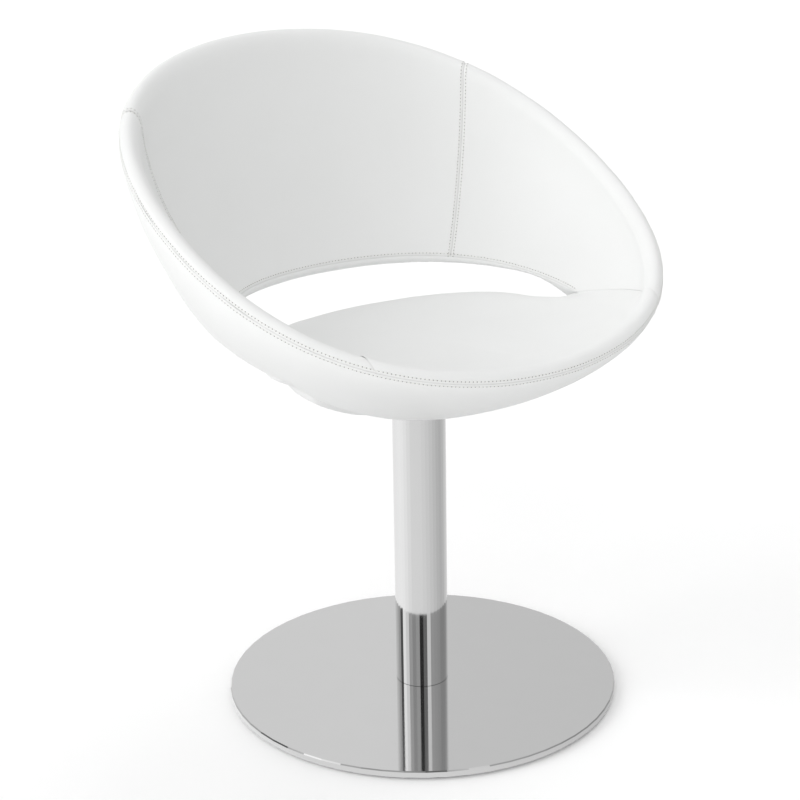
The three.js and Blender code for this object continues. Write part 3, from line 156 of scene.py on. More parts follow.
# Seams and stitches
SEAM_DEPTH = 0.55
SEAM_WIDTH = 0.7
VALLEY_DEPTH = 0.5
VALLEY_WIDTH = 3.2
STITCH_OFFSET = 3.0
STITCH_LOOK = 0.5
STITCH_PITCH = 4.2
STITCH_LENGTH = 3.1
STITCH_RADIUS = 0.6
STITCH_TAPER = 0.75
STITCH_ARCH = 0.45
STITCH_SINK = 0.25
STITCH_RINGS = 5
STITCH_SIDES = 6
HOLE_RADII = (0.09, 0.6)
HOLE_HEIGHTS = (0.03, 0.09)
HOLE_SIDES = 8
PUCKER_HEIGHT = 0.22
PUCKER_REACH = 11
PUCKER_START = 2.5
PUCKER_WAVELENGTH = 17
PUCKER_SEED = 11
SOFT_HEIGHT = 0.2
SOFT_WAVELENGTH = 90
SOFT_SEED = 5
RIPPLE_SCALES = (0.7, 1.6)
RIPPLE_PHASE = 6.3
FAINT_SEAM = 0.4
FAINT_SEAM_FADE = 3 * DEGREE
EASE_REACH = 13
EASE_STEPS = 14
EASE_RATE = 0.9

# Cloth
CLOTH_CELL = 7
CLOTH_FEWEST = 6
CLOTH_DIP = 0.3
CLOTH_EDGE = 12
CLOTH_FRAMES = 20
CLOTH_SMOOTHING = 6
CLOTH_PRESSURE = 3.0
CLOTH_SETTINGS = {
    "quality": 6, "mass": 0.6, "tension_stiffness": 60, "compression_stiffness": 60,
    "shear_stiffness": 30, "bending_stiffness": 6, "vertex_group_mass": "seams", "use_pressure": True,
}


def mix(a, b, share):
    return a + (b - a) * share


def smoothstep(x, low, high):
    u = np.clip((x - low) / (high - low), 0, 1)
    return u * u * (3 - 2 * u)


def points(x, y, z):
    return np.stack(np.broadcast_arrays(x, y, z), -1)


def unit(v):
    return v / np.maximum(np.linalg.norm(v, axis=-1, keepdims=True), 1e-12)


# Rim, lip and bowl. Angle 0 is the front and half a turn the back.
def rim_centre(t):
    x = RIM_HALF_WIDTH * np.sin(t) * (1 + RIM_FULLNESS * np.cos(t) ** 2)
    return points(x, RIM_CENTRE_Y - RIM_HALF_DEPTH * np.cos(t), RIM_CENTRE_Z - RIM_RISE * np.cos(t))


def rim_outward(t):
    squared = np.cos(t) ** 2 - 2 * np.sin(t) ** 2
    dx = RIM_HALF_WIDTH * np.cos(t) * (1 + RIM_FULLNESS * squared)
    return unit(points(RIM_HALF_DEPTH * np.sin(t), -dx, 0 * t))


def lip_point(t, turn, radius=LIP_RADIUS):
    t, turn = np.broadcast_arrays(t, turn)
    out = rim_outward(t) * (radius * np.cos(turn))[..., None]
    return rim_centre(t) + out + points(0 * t, 0 * t, radius * np.sin(turn))


def bowl_power(t):
    return BOWL_POWER - BOWL_POWER_SWING * np.cos(t)


def bowl_point(edge, bottom_z, rise, t):
    exponent = 2 / bowl_power(t)
    across = np.sin(rise) ** exponent
    height = 1 - np.maximum(np.cos(rise), 0) ** exponent
    return points(edge[..., 0] * across, edge[..., 1] * across, mix(bottom_z, edge[..., 2], height))


def rise_at_height(z, edge_z, bottom_z, t):
    left = np.clip(1 - (z - bottom_z) / (edge_z - bottom_z), 0, 1)
    return np.arccos(left ** (bowl_power(t) / 2))


def rise_at_share(share, t):
    return np.arcsin(share ** (bowl_power(t) / 2))


def wave_at(rise, t):
    share = rise / QUARTER_TURN
    fade = smoothstep(np.abs(t), TIP_ANGLE, BACK_SEAM_ANGLE)
    return WALL_WAVE * fade * np.cos(4 * math.pi * (share - 1)) * np.sin(QUARTER_TURN * share)


def bulge_at(rise, t):
    aside = (np.abs(t) - EDGE_BULGE_ANGLE) / EDGE_BULGE_SPREAD
    above = (rise - EDGE_BULGE_RISE) / EDGE_BULGE_RISE_SPREAD
    return EDGE_BULGE * np.exp(-aside * aside - above * above)


def outer_point(rise, t):
    rise, t = np.broadcast_arrays(rise, t)
    wave = wave_at(rise, t) - wave_at(QUARTER_TURN + 0 * t, t) + bulge_at(rise, t)
    point = bowl_point(lip_point(t, 0 * t), BOWL_BOTTOM_Z, rise, t)
    return point + rim_outward(t) * wave[..., None]


def inner_point(rise, t):
    rise, t = np.broadcast_arrays(rise, t)
    return bowl_point(lip_point(t, math.pi + 0 * t), INNER_BOTTOM_Z, rise, t)


def slot_edge_z(t):
    share = np.clip((np.abs(t) - TIP_ANGLE) / (math.pi - TIP_ANGLE), 0, 1)
    return mix(SLOT_BACK_Z, SLOT_TIP_Z, (1 - share) ** SLOT_EDGE_POWER)


def inner_rise_at(z, t):
    return rise_at_height(z, rim_centre(t)[..., 2], INNER_BOTTOM_Z, t)


def outer_band_angle(t):
    share = (np.abs(t) - TIP_ANGLE) / (OUTER_JOIN_ANGLE - TIP_ANGLE)
    return np.where(share < 1, np.sign(t) * mix(OUTER_TIP_ANGLE, OUTER_JOIN_ANGLE, share), t)


def slot_outer_rise(t):
    bounded = np.maximum(np.abs(t), OUTER_TIP_ANGLE)
    catch_up = smoothstep(bounded, OUTER_LEVEL_ANGLE, OUTER_JOIN_ANGLE)
    z = mix(OUTER_TIP_Z, slot_edge_z(np.maximum(bounded, TIP_ANGLE)), catch_up)
    return rise_at_height(z, rim_centre(bounded)[..., 2], BOWL_BOTTOM_Z, bounded)


def side_seam_z(angle):
    share = (TIP_ANGLE - angle) / (TIP_ANGLE - SEAM_INNER_ANGLE)
    top = rim_centre(np.array(SEAM_INNER_ANGLE))[2]
    return mix(SLOT_TIP_Z, top, np.clip(share, 0, 1))


def side_seam_point(share):
    angle = mix(TIP_ANGLE, SEAM_INNER_ANGLE, share)
    return inner_point(inner_rise_at(side_seam_z(angle), angle), angle)


def band_roll_point(t, turn):
    t, turn = np.broadcast_arrays(t, turn)
    inner = inner_point(inner_rise_at(slot_edge_z(t), t), t)
    outside = outer_band_angle(t)
    rise = slot_outer_rise(outside)
    outer = outer_point(rise, outside)
    down = unit(outer - outer_point(rise + BAND_ROLL_SLOPE_TURN, outside))
    share = np.clip((np.abs(t) - TIP_ANGLE) / (math.pi - TIP_ANGLE), 0, 1)
    depth = mix(BAND_ROLL_DEPTH, BAND_ROLL_TIP_DEPTH, (1 - share) ** SLOT_EDGE_POWER)
    side = (inner - outer) / 2
    centre = (inner + outer) / 2
    return centre - side * np.cos(turn)[..., None] + down * (depth * np.sin(turn))[..., None]


# Seat and the pan below it. Side runs from -1 to 1.
seat_tip = side_seam_point(np.array(0.0))
crest_tip_angle = math.acos((seat_tip[1] - CREST_CENTRE_Y) / CREST_DEPTH)
crest_half_width = seat_tip[0] / math.sin(crest_tip_angle)


def crest_point(side):
    angle = side * crest_tip_angle
    share = np.abs(np.sin(angle)) / math.sin(crest_tip_angle)
    z = mix(SEAT_BACK_Z, SLOT_TIP_Z - SEAT_TIP_DROP, share ** SEAT_CREST_POWER)
    return points(crest_half_width * np.sin(angle), CREST_CENTRE_Y + CREST_DEPTH * np.cos(angle), z)


def lip_start(side):
    return mix(LIP_START_ANGLE, LIP_END_ANGLE, side * side)


def seat_point(side, ahead):
    side, ahead = np.broadcast_arrays(side, ahead)
    one = np.ones_like(side)
    rear = crest_point(side)
    front = lip_point(SEAM_INNER_ANGLE * side, lip_start(side))
    front_corner = lip_point(SEAM_INNER_ANGLE * one, lip_start(one))
    straight = mix(crest_point(one), front_corner, ahead[..., None])
    pull = side_seam_point(ahead) - straight
    base = mix(rear, front, ahead[..., None])
    rise = ahead ** mix(SEAT_RISE_POWER, 1, np.abs(side))
    lift = SEAT_CROWN * (1 - side * side) * np.sin(math.pi * ahead)
    side_lift = pull[..., 2] * np.abs(side) ** SEAT_SIDE_POWER * np.minimum(1, ahead / BELLY_SHARE)
    z = mix(rear[..., 2], front[..., 2], rise) + lift + side_lift
    return points(base[..., 0] + pull[..., 0] * side, base[..., 1] + pull[..., 1] * side * side, z)


def seat_roll_point(side, turn):
    side, turn = np.broadcast_arrays(side, turn)
    angle = side * crest_tip_angle
    out = unit(points(CREST_DEPTH * np.sin(angle), crest_half_width * np.cos(angle), 0 * angle))
    centre = crest_point(side) - np.array([0, 0, SEAT_ROLL_RADIUS])
    up = points(0 * turn, 0 * turn, SEAT_ROLL_RADIUS * np.sin(turn))
    reach = SEAT_ROLL_RADIUS * (1 - SEAT_ROLL_TIP_SHARE * np.abs(side) ** SEAT_CREST_POWER)
    return centre + out * (reach * np.cos(turn))[..., None] + up


def pan_point(side, share):
    side, share = np.broadcast_arrays(side, share)
    top = seat_roll_point(side, SEAT_ROLL_END + 0 * side)
    angle = np.where(side < 0, -1, 1) * mix(math.pi, OUTER_TIP_ANGLE, np.abs(side))
    bottom = outer_point(rise_at_share(BELLY_SHARE, angle), angle)
    turn = QUARTER_TURN * share
    tuck = PAN_TUCK_SHARE * np.exp(-(((share - PAN_TUCK_CENTRE) / PAN_TUCK_SPREAD) ** 2))
    inward = 1 - np.maximum(np.cos(turn), 0) ** (2 / PAN_POWER) + tuck * np.abs(side)
    point = mix(top, bottom, inward[..., None])
    point[..., 2] = mix(top[..., 2], bottom[..., 2], np.sin(turn) ** (2 / PAN_POWER))
    return point


# Even steps in the middle of a run and finer ones towards the ends that have a seam
def graded(length, coarse, fine=0.55, growth=1.22, start=True, end=True):
    def half(reach, fine_end):
        at, step = [0.0], fine if fine_end else coarse
        while at[-1] < reach:
            at.append(at[-1] + step)
            step = min(coarse, step * growth)
        return np.array(at) * reach / at[-1]

    near, far = half(length / 2, start), half(length / 2, end)
    return np.concatenate([near, (length - far[::-1])[1:]])


def lengths_along(grid, axis):
    step = np.linalg.norm(np.diff(grid, axis=axis), axis=-1)
    zero = np.zeros_like(np.take(step, [0], axis))
    return np.concatenate([zero, np.cumsum(step, axis)], axis)


def grid_normals(grid):
    return unit(np.cross(np.gradient(grid, axis=1), np.gradient(grid, axis=0)))


# Distance from each point of a grid to one of its edges, square to that edge
def edge_distance(grid, edge):
    axis = 0 if edge in ("top", "bottom") else 1
    along = lengths_along(grid, axis)
    if edge in ("bottom", "right"):
        along = np.take(along, [-1], axis) - along
    at = 0 if edge in ("top", "left") else -1
    line = np.take(grid, at, axis)
    next_line = np.take(grid, 2 if at == 0 else -3, axis)
    tangent = unit(np.gradient(line, axis=0))
    away = unit(next_line - line)
    skew = np.sqrt(np.clip(1 - np.sum(tangent * away, -1) ** 2, SKEW_FLOOR, 1))
    return along * (skew[None, :] if axis == 0 else skew[:, None])


# Smooth noise over a grid from a few waves of random heading
def ripples(grid, wavelength, count=9, seed=1):
    source = np.random.default_rng(seed)
    total = np.zeros(grid.shape[:2])
    for _ in range(count):
        heading = unit(source.normal(size=3))
        scale = wavelength * source.uniform(*RIPPLE_SCALES)
        total += np.sin(grid @ heading * (2 * math.pi / scale) + source.uniform(0, RIPPLE_PHASE))
    return total / math.sqrt(count)


def tidy_mesh(name, verts, quads, triangles=()):
    mesh = bpy.data.meshes.new(name)
    verts = np.asarray(verts, np.float32)
    quads = np.asarray(quads, np.int32)
    triangles = np.asarray(triangles, np.int32)
    sizes = np.repeat([4, 3], [len(quads), len(triangles)])
    mesh.vertices.add(len(verts))
    mesh.vertices.foreach_set("co", (verts * MM).ravel())
    mesh.loops.add(int(sizes.sum()))
    mesh.polygons.add(len(sizes))
    mesh.loops.foreach_set("vertex_index", np.concatenate([quads.ravel(), triangles.ravel()]))
    mesh.polygons.foreach_set("loop_start", (np.cumsum(sizes) - sizes).astype(np.int32))
    mesh.polygons.foreach_set("use_smooth", np.ones(len(sizes), bool))
    mesh.update(calc_edges=True)
    mesh.validate()
    return mesh


def in_scene(name, data):
    piece = bpy.data.objects.new(name, data)
    bpy.context.scene.collection.objects.link(piece)
    return piece


def grid_faces(rows, columns, offset=0):
    a = np.arange(rows * columns).reshape(rows, columns) + offset
    return np.stack([a[:-1, :-1], a[:-1, 1:], a[1:, 1:], a[1:, :-1]], -1).reshape(-1, 4)


# One mesh from several grids, joined where their edges meet
def mesh_of_grids(name, grids, groove_shades, flip=False):
    verts = np.concatenate([g.reshape(-1, 3) for g in grids])
    groove_shades = np.concatenate([g.ravel() for g in groove_shades])
    offsets = np.cumsum([0] + [g.shape[0] * g.shape[1] for g in grids])
    faces = np.concatenate([grid_faces(g.shape[0], g.shape[1], o) for g, o in zip(grids, offsets)])
    rounded = np.round(verts, 2)
    _, first, inverse = np.unique(rounded, axis=0, return_index=True, return_inverse=True)
    faces = inverse.ravel()[faces]
    if flip:
        faces = faces[:, ::-1]
    corners = np.array([len(set(face)) for face in faces.tolist()])
    triangles = [list(dict.fromkeys(face)) for face in faces[corners == 3].tolist()]
    mesh = tidy_mesh(name, verts[first], faces[corners == 4], triangles)
    # Share of painted shade in the seam grooves, read by the leather's colour
    layer = mesh.attributes.new("groove_shade", "FLOAT", "POINT")
    layer.data.foreach_set("value", groove_shades[first].astype(np.float32))
    return in_scene(name, mesh)


# Cloth: a coarse copy of a panel is held along its seams and pushed out by the foam
def settled(name, coarse, pinned, pressure):
    rows, columns = coarse.shape[:2]
    mesh = tidy_mesh(name + "_cloth", coarse.reshape(-1, 3), grid_faces(rows, columns))
    piece = in_scene(name + "_cloth", mesh)
    group = piece.vertex_groups.new(name="seams")
    group.add([int(i) for i in np.flatnonzero(pinned.ravel())], 1.0, "REPLACE")
    cloth = piece.modifiers.new("leather", "CLOTH")
    for setting, value in CLOTH_SETTINGS.items():
        setattr(cloth.settings, setting, value)
    cloth.settings.uniform_pressure_force = pressure
    cloth.settings.effector_weights.gravity = 0
    cloth.point_cache.frame_start = 1
    cloth.point_cache.frame_end = CLOTH_FRAMES
    scene = bpy.context.scene
    for frame_number in range(1, CLOTH_FRAMES + 1):
        scene.frame_set(frame_number)
    result = piece.evaluated_get(bpy.context.evaluated_depsgraph_get())
    flat = np.empty(rows * columns * 3, np.float32)
    result.data.vertices.foreach_get("co", flat)
    scene.frame_set(1)
    bpy.data.objects.remove(piece)
    return flat.reshape(rows, columns, 3) / MM


def smoothed(field, times):
    for _ in range(times):
        wide = np.pad(field, 1, mode="edge")
        field = (
            wide[:-2, 1:-1] + wide[2:, 1:-1] + wide[1:-1, :-2] + wide[1:-1, 2:] + 2 * field
        ) / 6
    return field


def resampled(field, rows_at, columns_at, coarse_rows, coarse_columns):
    along = np.array([np.interp(rows_at, coarse_rows, line) for line in field.T]).T
    return np.array([np.interp(columns_at, coarse_columns, line) for line in along])


# Rounds off a grid where two of its stretches meet at a row
def eased(grid, rows, at):
    window = np.exp(-(((rows - at) / EASE_REACH) ** 2))[1:-1, None, None]
    for _ in range(EASE_STEPS):
        middle = (grid[:-2] + grid[2:]) / 2
        grid = np.concatenate([grid[:1], mix(grid[1:-1], middle, EASE_RATE * window), grid[-1:]])
    return grid


# A panel: its surface, the cloth's swell, then a seam of some strength along each sewn edge
class Panel:
    def __init__(self, name, surface, rows, columns, seams, outward=1, cap=2.0, soft=True,
                 ease=(), strengths=None):
        grid = surface(rows[:, None], columns[None, :])
        for at in ease:
            grid = eased(grid, rows, at)
        self.normals = grid_normals(grid) * outward
        self.distance = {edge: edge_distance(grid, edge) for edge in EDGES}
        if soft:
            grid = grid + self.swell(name, surface, rows, columns, outward, cap)
            self.normals = grid_normals(grid) * outward
        depth = np.zeros(grid.shape[:2])
        self.groove_shade = np.zeros(grid.shape[:2])
        for number, edge in enumerate(seams):
            d = self.distance[edge]
            strength = strengths.get(edge, 1) if strengths else 1
            cut = strength * np.exp(-((d / SEAM_WIDTH) ** 2))
            dip = SEAM_DEPTH * cut + strength * VALLEY_DEPTH * np.exp(-((d / VALLEY_WIDTH) ** 2))
            pucker = ripples(grid, PUCKER_WAVELENGTH, seed=PUCKER_SEED + number) * PUCKER_HEIGHT
            near = np.exp(-((d / PUCKER_REACH) ** 2)) * (1 - np.exp(-((d / PUCKER_START) ** 2)))
            depth = np.maximum(depth, dip) - pucker * near
            # Where the seam cuts in, the leather's colour gets painted shade
            self.groove_shade = np.maximum(self.groove_shade, cut)
        depth = depth + ripples(grid, SOFT_WAVELENGTH, seed=SOFT_SEED) * SOFT_HEIGHT
        self.grid = grid - self.normals * depth[..., None]

    def swell(self, name, surface, rows, columns, outward, cap):
        coarse_rows, coarse_columns = (
            np.linspace(fine[0], fine[-1], max(CLOTH_FEWEST, int(np.ptp(fine) / CLOTH_CELL)))
            for fine in (rows, columns)
        )
        coarse = surface(coarse_rows[:, None], coarse_columns[None, :])
        pinned = np.zeros(coarse.shape[:2], bool)
        pinned[[0, -1], :] = True
        pinned[:, [0, -1]] = True
        facing = grid_normals(coarse) * outward
        moved = settled(name, coarse, pinned, CLOTH_PRESSURE * outward) - coarse
        lift = np.sum(moved * facing, -1)
        lift = np.clip(smoothed(np.clip(lift, -CLOTH_DIP, cap), CLOTH_SMOOTHING), -CLOTH_DIP, cap)
        lift = resampled(lift, rows, columns, coarse_rows, coarse_columns)
        for edge in self.distance:
            lift = lift * (1 - np.exp(-((self.distance[edge] / CLOTH_EDGE) ** 2)))
        return self.normals * lift[..., None]

    # The line on the panel at a distance from one of its edges
    def line(self, edge, distance):
        runs, paths, facings = self.distance[edge], self.grid, self.normals
        if edge in ("top", "bottom"):
            runs, paths, facings = (field.swapaxes(0, 1) for field in (runs, paths, facings))
        found, normals = [], []
        for run, path, facing in zip(runs, paths, facings):
            order = slice(None) if run[0] < run[-1] else slice(None, None, -1)
            found.append([np.interp(distance, run[order], path[order, i]) for i in range(3)])
            normals.append([np.interp(distance, run[order], facing[order, i]) for i in range(3)])
        return np.array(found), unit(np.array(normals))


# Angle of a column round the rim, from minus half a turn to half a turn
def turned_angle(column):
    angle = column / RIM_HALF_DEPTH
    return np.where(angle > math.pi, angle - 2 * math.pi, angle)


# Back or side: the lip, then the wall down to its lower edge
def wall_surface(low_rise, skewed):
    def surface(row, column):
        row, column = np.broadcast_arrays(row, column)
        lip = np.clip(row / LIP_ARC, 0, 1)
        wall = np.clip((row - LIP_ARC) / WALL_RUN, 0, 1)
        angle = turned_angle(column)
        if skewed:
            near = np.maximum(0, 1 - (angle - SEAM_INNER_ANGLE) / SEAM_SKEW_REACH)
            angle = angle - (SEAM_INNER_ANGLE - SEAM_OUTER_ANGLE) * (1 - lip) * near
        on_lip = lip_point(angle, lip * math.pi)
        on_wall = inner_point(mix(QUARTER_TURN, low_rise(angle), wall), angle)
        return np.where((row <= LIP_ARC)[..., None], on_lip, on_wall)

    return surface


def stitched_rise(angle):
    return inner_rise_at(slot_edge_z(angle), angle)


def side_low_rise(angle):
    edge_z = rim_centre(angle)[..., 2]
    low_z = np.where(angle < TIP_ANGLE, side_seam_z(angle), slot_edge_z(angle))
    return inner_rise_at(np.minimum(low_z, edge_z - BELOW_RIM), angle)


back_start, side_start = BACK_SEAM_ANGLE * RIM_HALF_DEPTH, SEAM_INNER_ANGLE * RIM_HALF_DEPTH
wall_rows = graded(LIP_ARC + WALL_RUN, COARSE_STEP)
back_run = (2 * math.pi - 2 * BACK_SEAM_ANGLE) * RIM_HALF_DEPTH
side_run = (BACK_SEAM_ANGLE - SEAM_INNER_ANGLE) * RIM_HALF_DEPTH
back_columns = graded(back_run, COARSE_STEP) + back_start
side_columns = graded(side_run, COARSE_STEP) + side_start

back = Panel("back_panel", wall_surface(stitched_rise, False), wall_rows, back_columns, EDGES,
             ease=[LIP_ARC])
past_tip = smoothstep(side_columns / RIM_HALF_DEPTH, TIP_ANGLE - FAINT_SEAM_FADE, TIP_ANGLE)
side = Panel("right_side_panel", wall_surface(side_low_rise, True), wall_rows, side_columns,
             EDGES, ease=[LIP_ARC],
             strengths={"bottom": mix(FAINT_SEAM, 1, past_tip), "left": FAINT_SEAM})


# Next to its side seams the seat climbs to the seam line
def seam_climb(side, ahead):
    gap = side_seam_point(ahead)[..., 2] - seat_point(1.0, ahead)[..., 2]
    return points(0 * side, 0 * side, gap * np.abs(side) ** SEAM_CLIMB_POWER)


# Swell of the seat's padding along its rear edge, which ends short of the slot's tips
# and sinks a little before them
rise_sides = np.linspace(0, 1, REAR_RISE_STEPS)
rises = np.interp(rise_sides, REAR_RISE_SIDES, REAR_RISES)
for _ in range(REAR_RISE_PASSES):
    rises[1:-1] = (rises[:-2] + 2 * rises[1:-1] + rises[2:]) / 4


def rear_rise(side, roll, ahead):
    across = np.interp(np.abs(side), rise_sides, rises)
    along = smoothstep(roll, 0, 1) * np.exp(-((ahead * SEAT_RUN / REAR_RISE_REACH) ** 2))
    return points(0 * across, 0 * across, across * along)


# Seat: rear roll, seat surface, front lip
def seat_surface(row, column):
    row, column = np.broadcast_arrays(row, column)
    side_at = np.clip(column / (SEAT_WIDTH / 2), -1, 1)
    roll = np.clip(row / ROLL_ARC, 0, 1)
    ahead = np.clip((row - ROLL_ARC) / SEAT_RUN, 0, 1)
    lip = np.clip((row - ROLL_ARC - SEAT_RUN) / FRONT_ARC, 0, 1)
    on_roll = seat_roll_point(side_at, mix(SEAT_ROLL_END, QUARTER_TURN, roll))
    on_roll = on_roll + seam_climb(side_at, 0 * ahead)
    on_seat = seat_point(side_at, ahead) + seam_climb(side_at, ahead)
    angle = side_at * mix(SEAM_INNER_ANGLE, SEAM_OUTER_ANGLE, lip)
    on_lip = lip_point(angle, mix(lip_start(side_at), 0, lip))
    grid = np.where((row < ROLL_ARC)[..., None], on_roll, on_seat) + rear_rise(side_at, roll, ahead)
    return np.where((row > ROLL_ARC + SEAT_RUN)[..., None], on_lip, grid)


seat_rows = np.unique(np.concatenate([
    graded(ROLL_ARC + SEAT_RUN + FRONT_ARC, COARSE_STEP),
    np.linspace(0, ROLL_ARC, ROLL_ROWS),
    np.linspace(ROLL_ARC + SEAT_RUN, ROLL_ARC + SEAT_RUN + FRONT_ARC, ROLL_ROWS),
]))
seat_columns = graded(SEAT_WIDTH, COARSE_STEP) - SEAT_WIDTH / 2
seat = Panel("seat_panel", seat_surface, seat_rows, seat_columns, ["bottom", "left", "right"],
             outward=-1, ease=[ROLL_ARC, ROLL_ARC + SEAT_RUN],
             strengths={"left": FAINT_SEAM, "right": FAINT_SEAM})


# Pan below the rear of the seat, with a return at each side up to the outer leather
def pan_surface(row, column):
    row, column = np.broadcast_arrays(row, column)
    share = row / PAN_RUN
    side_at = np.clip(column / (SEAT_WIDTH / 2), -1, 1)
    beyond = np.clip((np.abs(column) - SEAT_WIDTH / 2) / RETURN_WIDTH, 0, 1)
    tip = OUTER_TIP_ANGLE * np.where(column < 0, -1, 1)
    rise = mix(slot_outer_rise(tip), rise_at_share(BELLY_SHARE, tip), share)
    climb = seam_climb(side_at, 0 * share) * ((1 - share) ** 2)[..., None]
    return mix(pan_point(side_at, share) + climb, outer_point(rise, tip), beyond[..., None])


pan_columns = np.concatenate([
    np.linspace(-SEAT_WIDTH / 2 - RETURN_WIDTH, -SEAT_WIDTH / 2, RETURN_COLUMNS)[:-1],
    np.linspace(-SEAT_WIDTH / 2, SEAT_WIDTH / 2, PAN_COLUMNS),
    np.linspace(SEAT_WIDTH / 2, SEAT_WIDTH / 2 + RETURN_WIDTH, RETURN_COLUMNS)[1:],
])
pan_rows = graded(PAN_RUN, PAN_STEP, end=False)
pan = Panel("pan_panel", pan_surface, pan_rows, pan_columns, ["top"], soft=False)
from_end = (np.abs(pan_columns) - SEAT_WIDTH / 2) / PAN_END_REACH
pan_swell = PAN_END_SWELL * np.sin(math.pi * pan_rows / PAN_RUN)[:, None] * np.exp(-from_end ** 2)
pan.grid = pan.grid + pan.normals * pan_swell[..., None]


# The slot's end, between the seat's roll and the end of the band's roll
def tip_grid(sign):
    down = np.linspace(0, 1, TIP_ROWS)
    seat_edge = seat_roll_point(np.array(float(sign)), mix(QUARTER_TURN, SEAT_ROLL_END, down))
    seat_edge = seat_edge + seam_climb(np.ones_like(down), 0 * down)
    band_edge = band_roll_point(np.array(sign * TIP_ANGLE), math.pi * (1 - down))
    across = np.linspace(0, 1, TIP_COLUMNS)[None, :, None]
    return mix(seat_edge[:, None, :], band_edge[:, None, :], across)


# Outer leather: a ring under the rim seam, an apron in front and a roll along the band's lower edge
def front_surface(row, column):
    row, column = np.broadcast_arrays(row, column)
    angle = column / RIM_HALF_DEPTH
    ring = np.clip(row / RING_RUN, 0, 1)
    apron = np.clip((row - RING_RUN) / APRON_RUN, 0, 1)
    middle = slot_outer_rise(angle)
    below = mix(middle, rise_at_share(BELLY_SHARE, angle), apron)
    return outer_point(np.where(row <= RING_RUN, mix(QUARTER_TURN, middle, ring), below), angle)


def band_surface(row, column):
    row, column = np.broadcast_arrays(row, column)
    angle = turned_angle(column)
    outside = outer_band_angle(angle)
    ring = np.clip(row / RING_RUN, 0, 1)
    roll = np.clip((row - RING_RUN) / ROLL_RUN, 0, 1)
    on_ring = outer_point(mix(QUARTER_TURN, slot_outer_rise(outside), ring), outside)
    return np.where((row <= RING_RUN)[..., None], on_ring, band_roll_point(angle, math.pi * roll))


ring_rows = graded(RING_RUN, COARSE_STEP, end=False)
front_rows = np.concatenate([ring_rows, RING_RUN + np.linspace(0, APRON_RUN, APRON_ROWS)[1:]])
band_rows = np.concatenate([ring_rows, RING_RUN + graded(ROLL_RUN, ROLL_STEP, start=False)[1:]])
tip_arc = TIP_ANGLE * RIM_HALF_DEPTH
front_arc = OUTER_TIP_ANGLE * RIM_HALF_DEPTH
front_columns = np.linspace(-front_arc, front_arc, FRONT_COLUMNS)
band_columns = np.linspace(tip_arc, 2 * math.pi * RIM_HALF_DEPTH - tip_arc, BAND_COLUMNS)
front = Panel("front", front_surface, front_rows, front_columns, ["top"], outward=-1, cap=1.0)
band = Panel("band", band_surface, band_rows, band_columns, ["top", "bottom"], outward=-1, cap=1.0)


def plain(*grids):
    return [np.zeros(grid.shape[:2]) for grid in grids]


tips = [tip_grid(1), tip_grid(-1)[:, ::-1]]
back_piece = mesh_of_grids("back_panel", [back.grid], [back.groove_shade])
right_piece = mesh_of_grids("right_side_panel", [side.grid], [side.groove_shade])
left_piece = mesh_of_grids("left_side_panel", [side.grid * MIRROR], [side.groove_shade], flip=True)
seat_piece = mesh_of_grids("seat_panel", [seat.grid], [seat.groove_shade], flip=True)
pan_piece = mesh_of_grids("pan_panel", [pan.grid, *tips], [pan.groove_shade, *plain(*tips)])
outer_piece = mesh_of_grids("outer_leather", [front.grid, band.grid], [front.groove_shade, band.groove_shade],
                            flip=True)


# Dust cover stretched under the seat
def dust_grid():
    angle = np.linspace(-math.pi, math.pi, DUST_COLUMNS)
    outer = outer_point(rise_at_share(BELLY_SHARE, angle), angle)
    reach = np.linalg.norm(outer[:, :2], axis=-1)
    outer[:, :2] *= (1 - DUST_COVER_EDGE_GAP / reach)[:, None]
    hole = DUST_COVER_HOLE_RADIUS
    inner = points(hole * np.sin(angle), -hole * np.cos(angle), DUST_COVER_Z + 0 * angle)
    share = np.linspace(0, 1, DUST_ROWS)[:, None, None]
    grid = mix(outer[None], inner[None], share)
    grid[..., 2] -= DUST_COVER_SAG * np.sin(math.pi * share[..., 0])
    return grid


dust = dust_grid()
dust_piece = mesh_of_grids("dust_sheet", [dust], plain(dust), flip=True)

# Webbing straps over the seat hoop
in_front = np.array(0.0)
hoop_rise = rise_at_height(HOOP_Z, rim_centre(in_front)[2], BOWL_BOTTOM_Z, in_front)
hoop_front = outer_point(hoop_rise, in_front)[1]
pan_top, pan_low = pan_point(0.0, 0.0)[2], pan_point(0.0, 1.0)[2]
pan_share = math.asin(((pan_top - HOOP_Z) / (pan_top - pan_low)) ** (PAN_POWER / 2)) / QUARTER_TURN
hoop_rear = pan_point(0.0, pan_share)[1]
hoop_centre_y = (hoop_front + hoop_rear) / 2
hoop_radius = (hoop_rear - hoop_front) / 2 - HOOP_WALL_CLEARANCE - HOOP_TUBE_RADIUS


def strap_grid(index):
    offset = (index - (STRAP_COUNT - 1) / 2) * STRAP_PITCH
    half = math.sqrt(hoop_radius ** 2 - (abs(offset) + STRAP_WIDTH / 2) ** 2)
    share = np.linspace(0, 1, STRAP_COLUMNS)[None, :]
    across = np.linspace(-0.5, 0.5, STRAP_ROWS)[:, None]
    x = mix(-half, half, share) + 0 * across
    ends_z = HOOP_Z + HOOP_TUBE_RADIUS + CUT_GAP + STRAP_THICKNESS / 2
    z = ends_z - STRAP_SAG * np.sin(math.pi * share)
    ribs = STRAP_RIB_HEIGHT * np.cos(across * STRAP_RIBS * 2 * math.pi)
    return points(x, hoop_centre_y + offset + STRAP_WIDTH * across, z + ribs)


straps = []
for index in range(STRAP_COUNT):
    grid = strap_grid(index)
    straps.append((mesh_of_grids(f"seat_strap_{index + 1}", [grid], plain(grid)), grid))


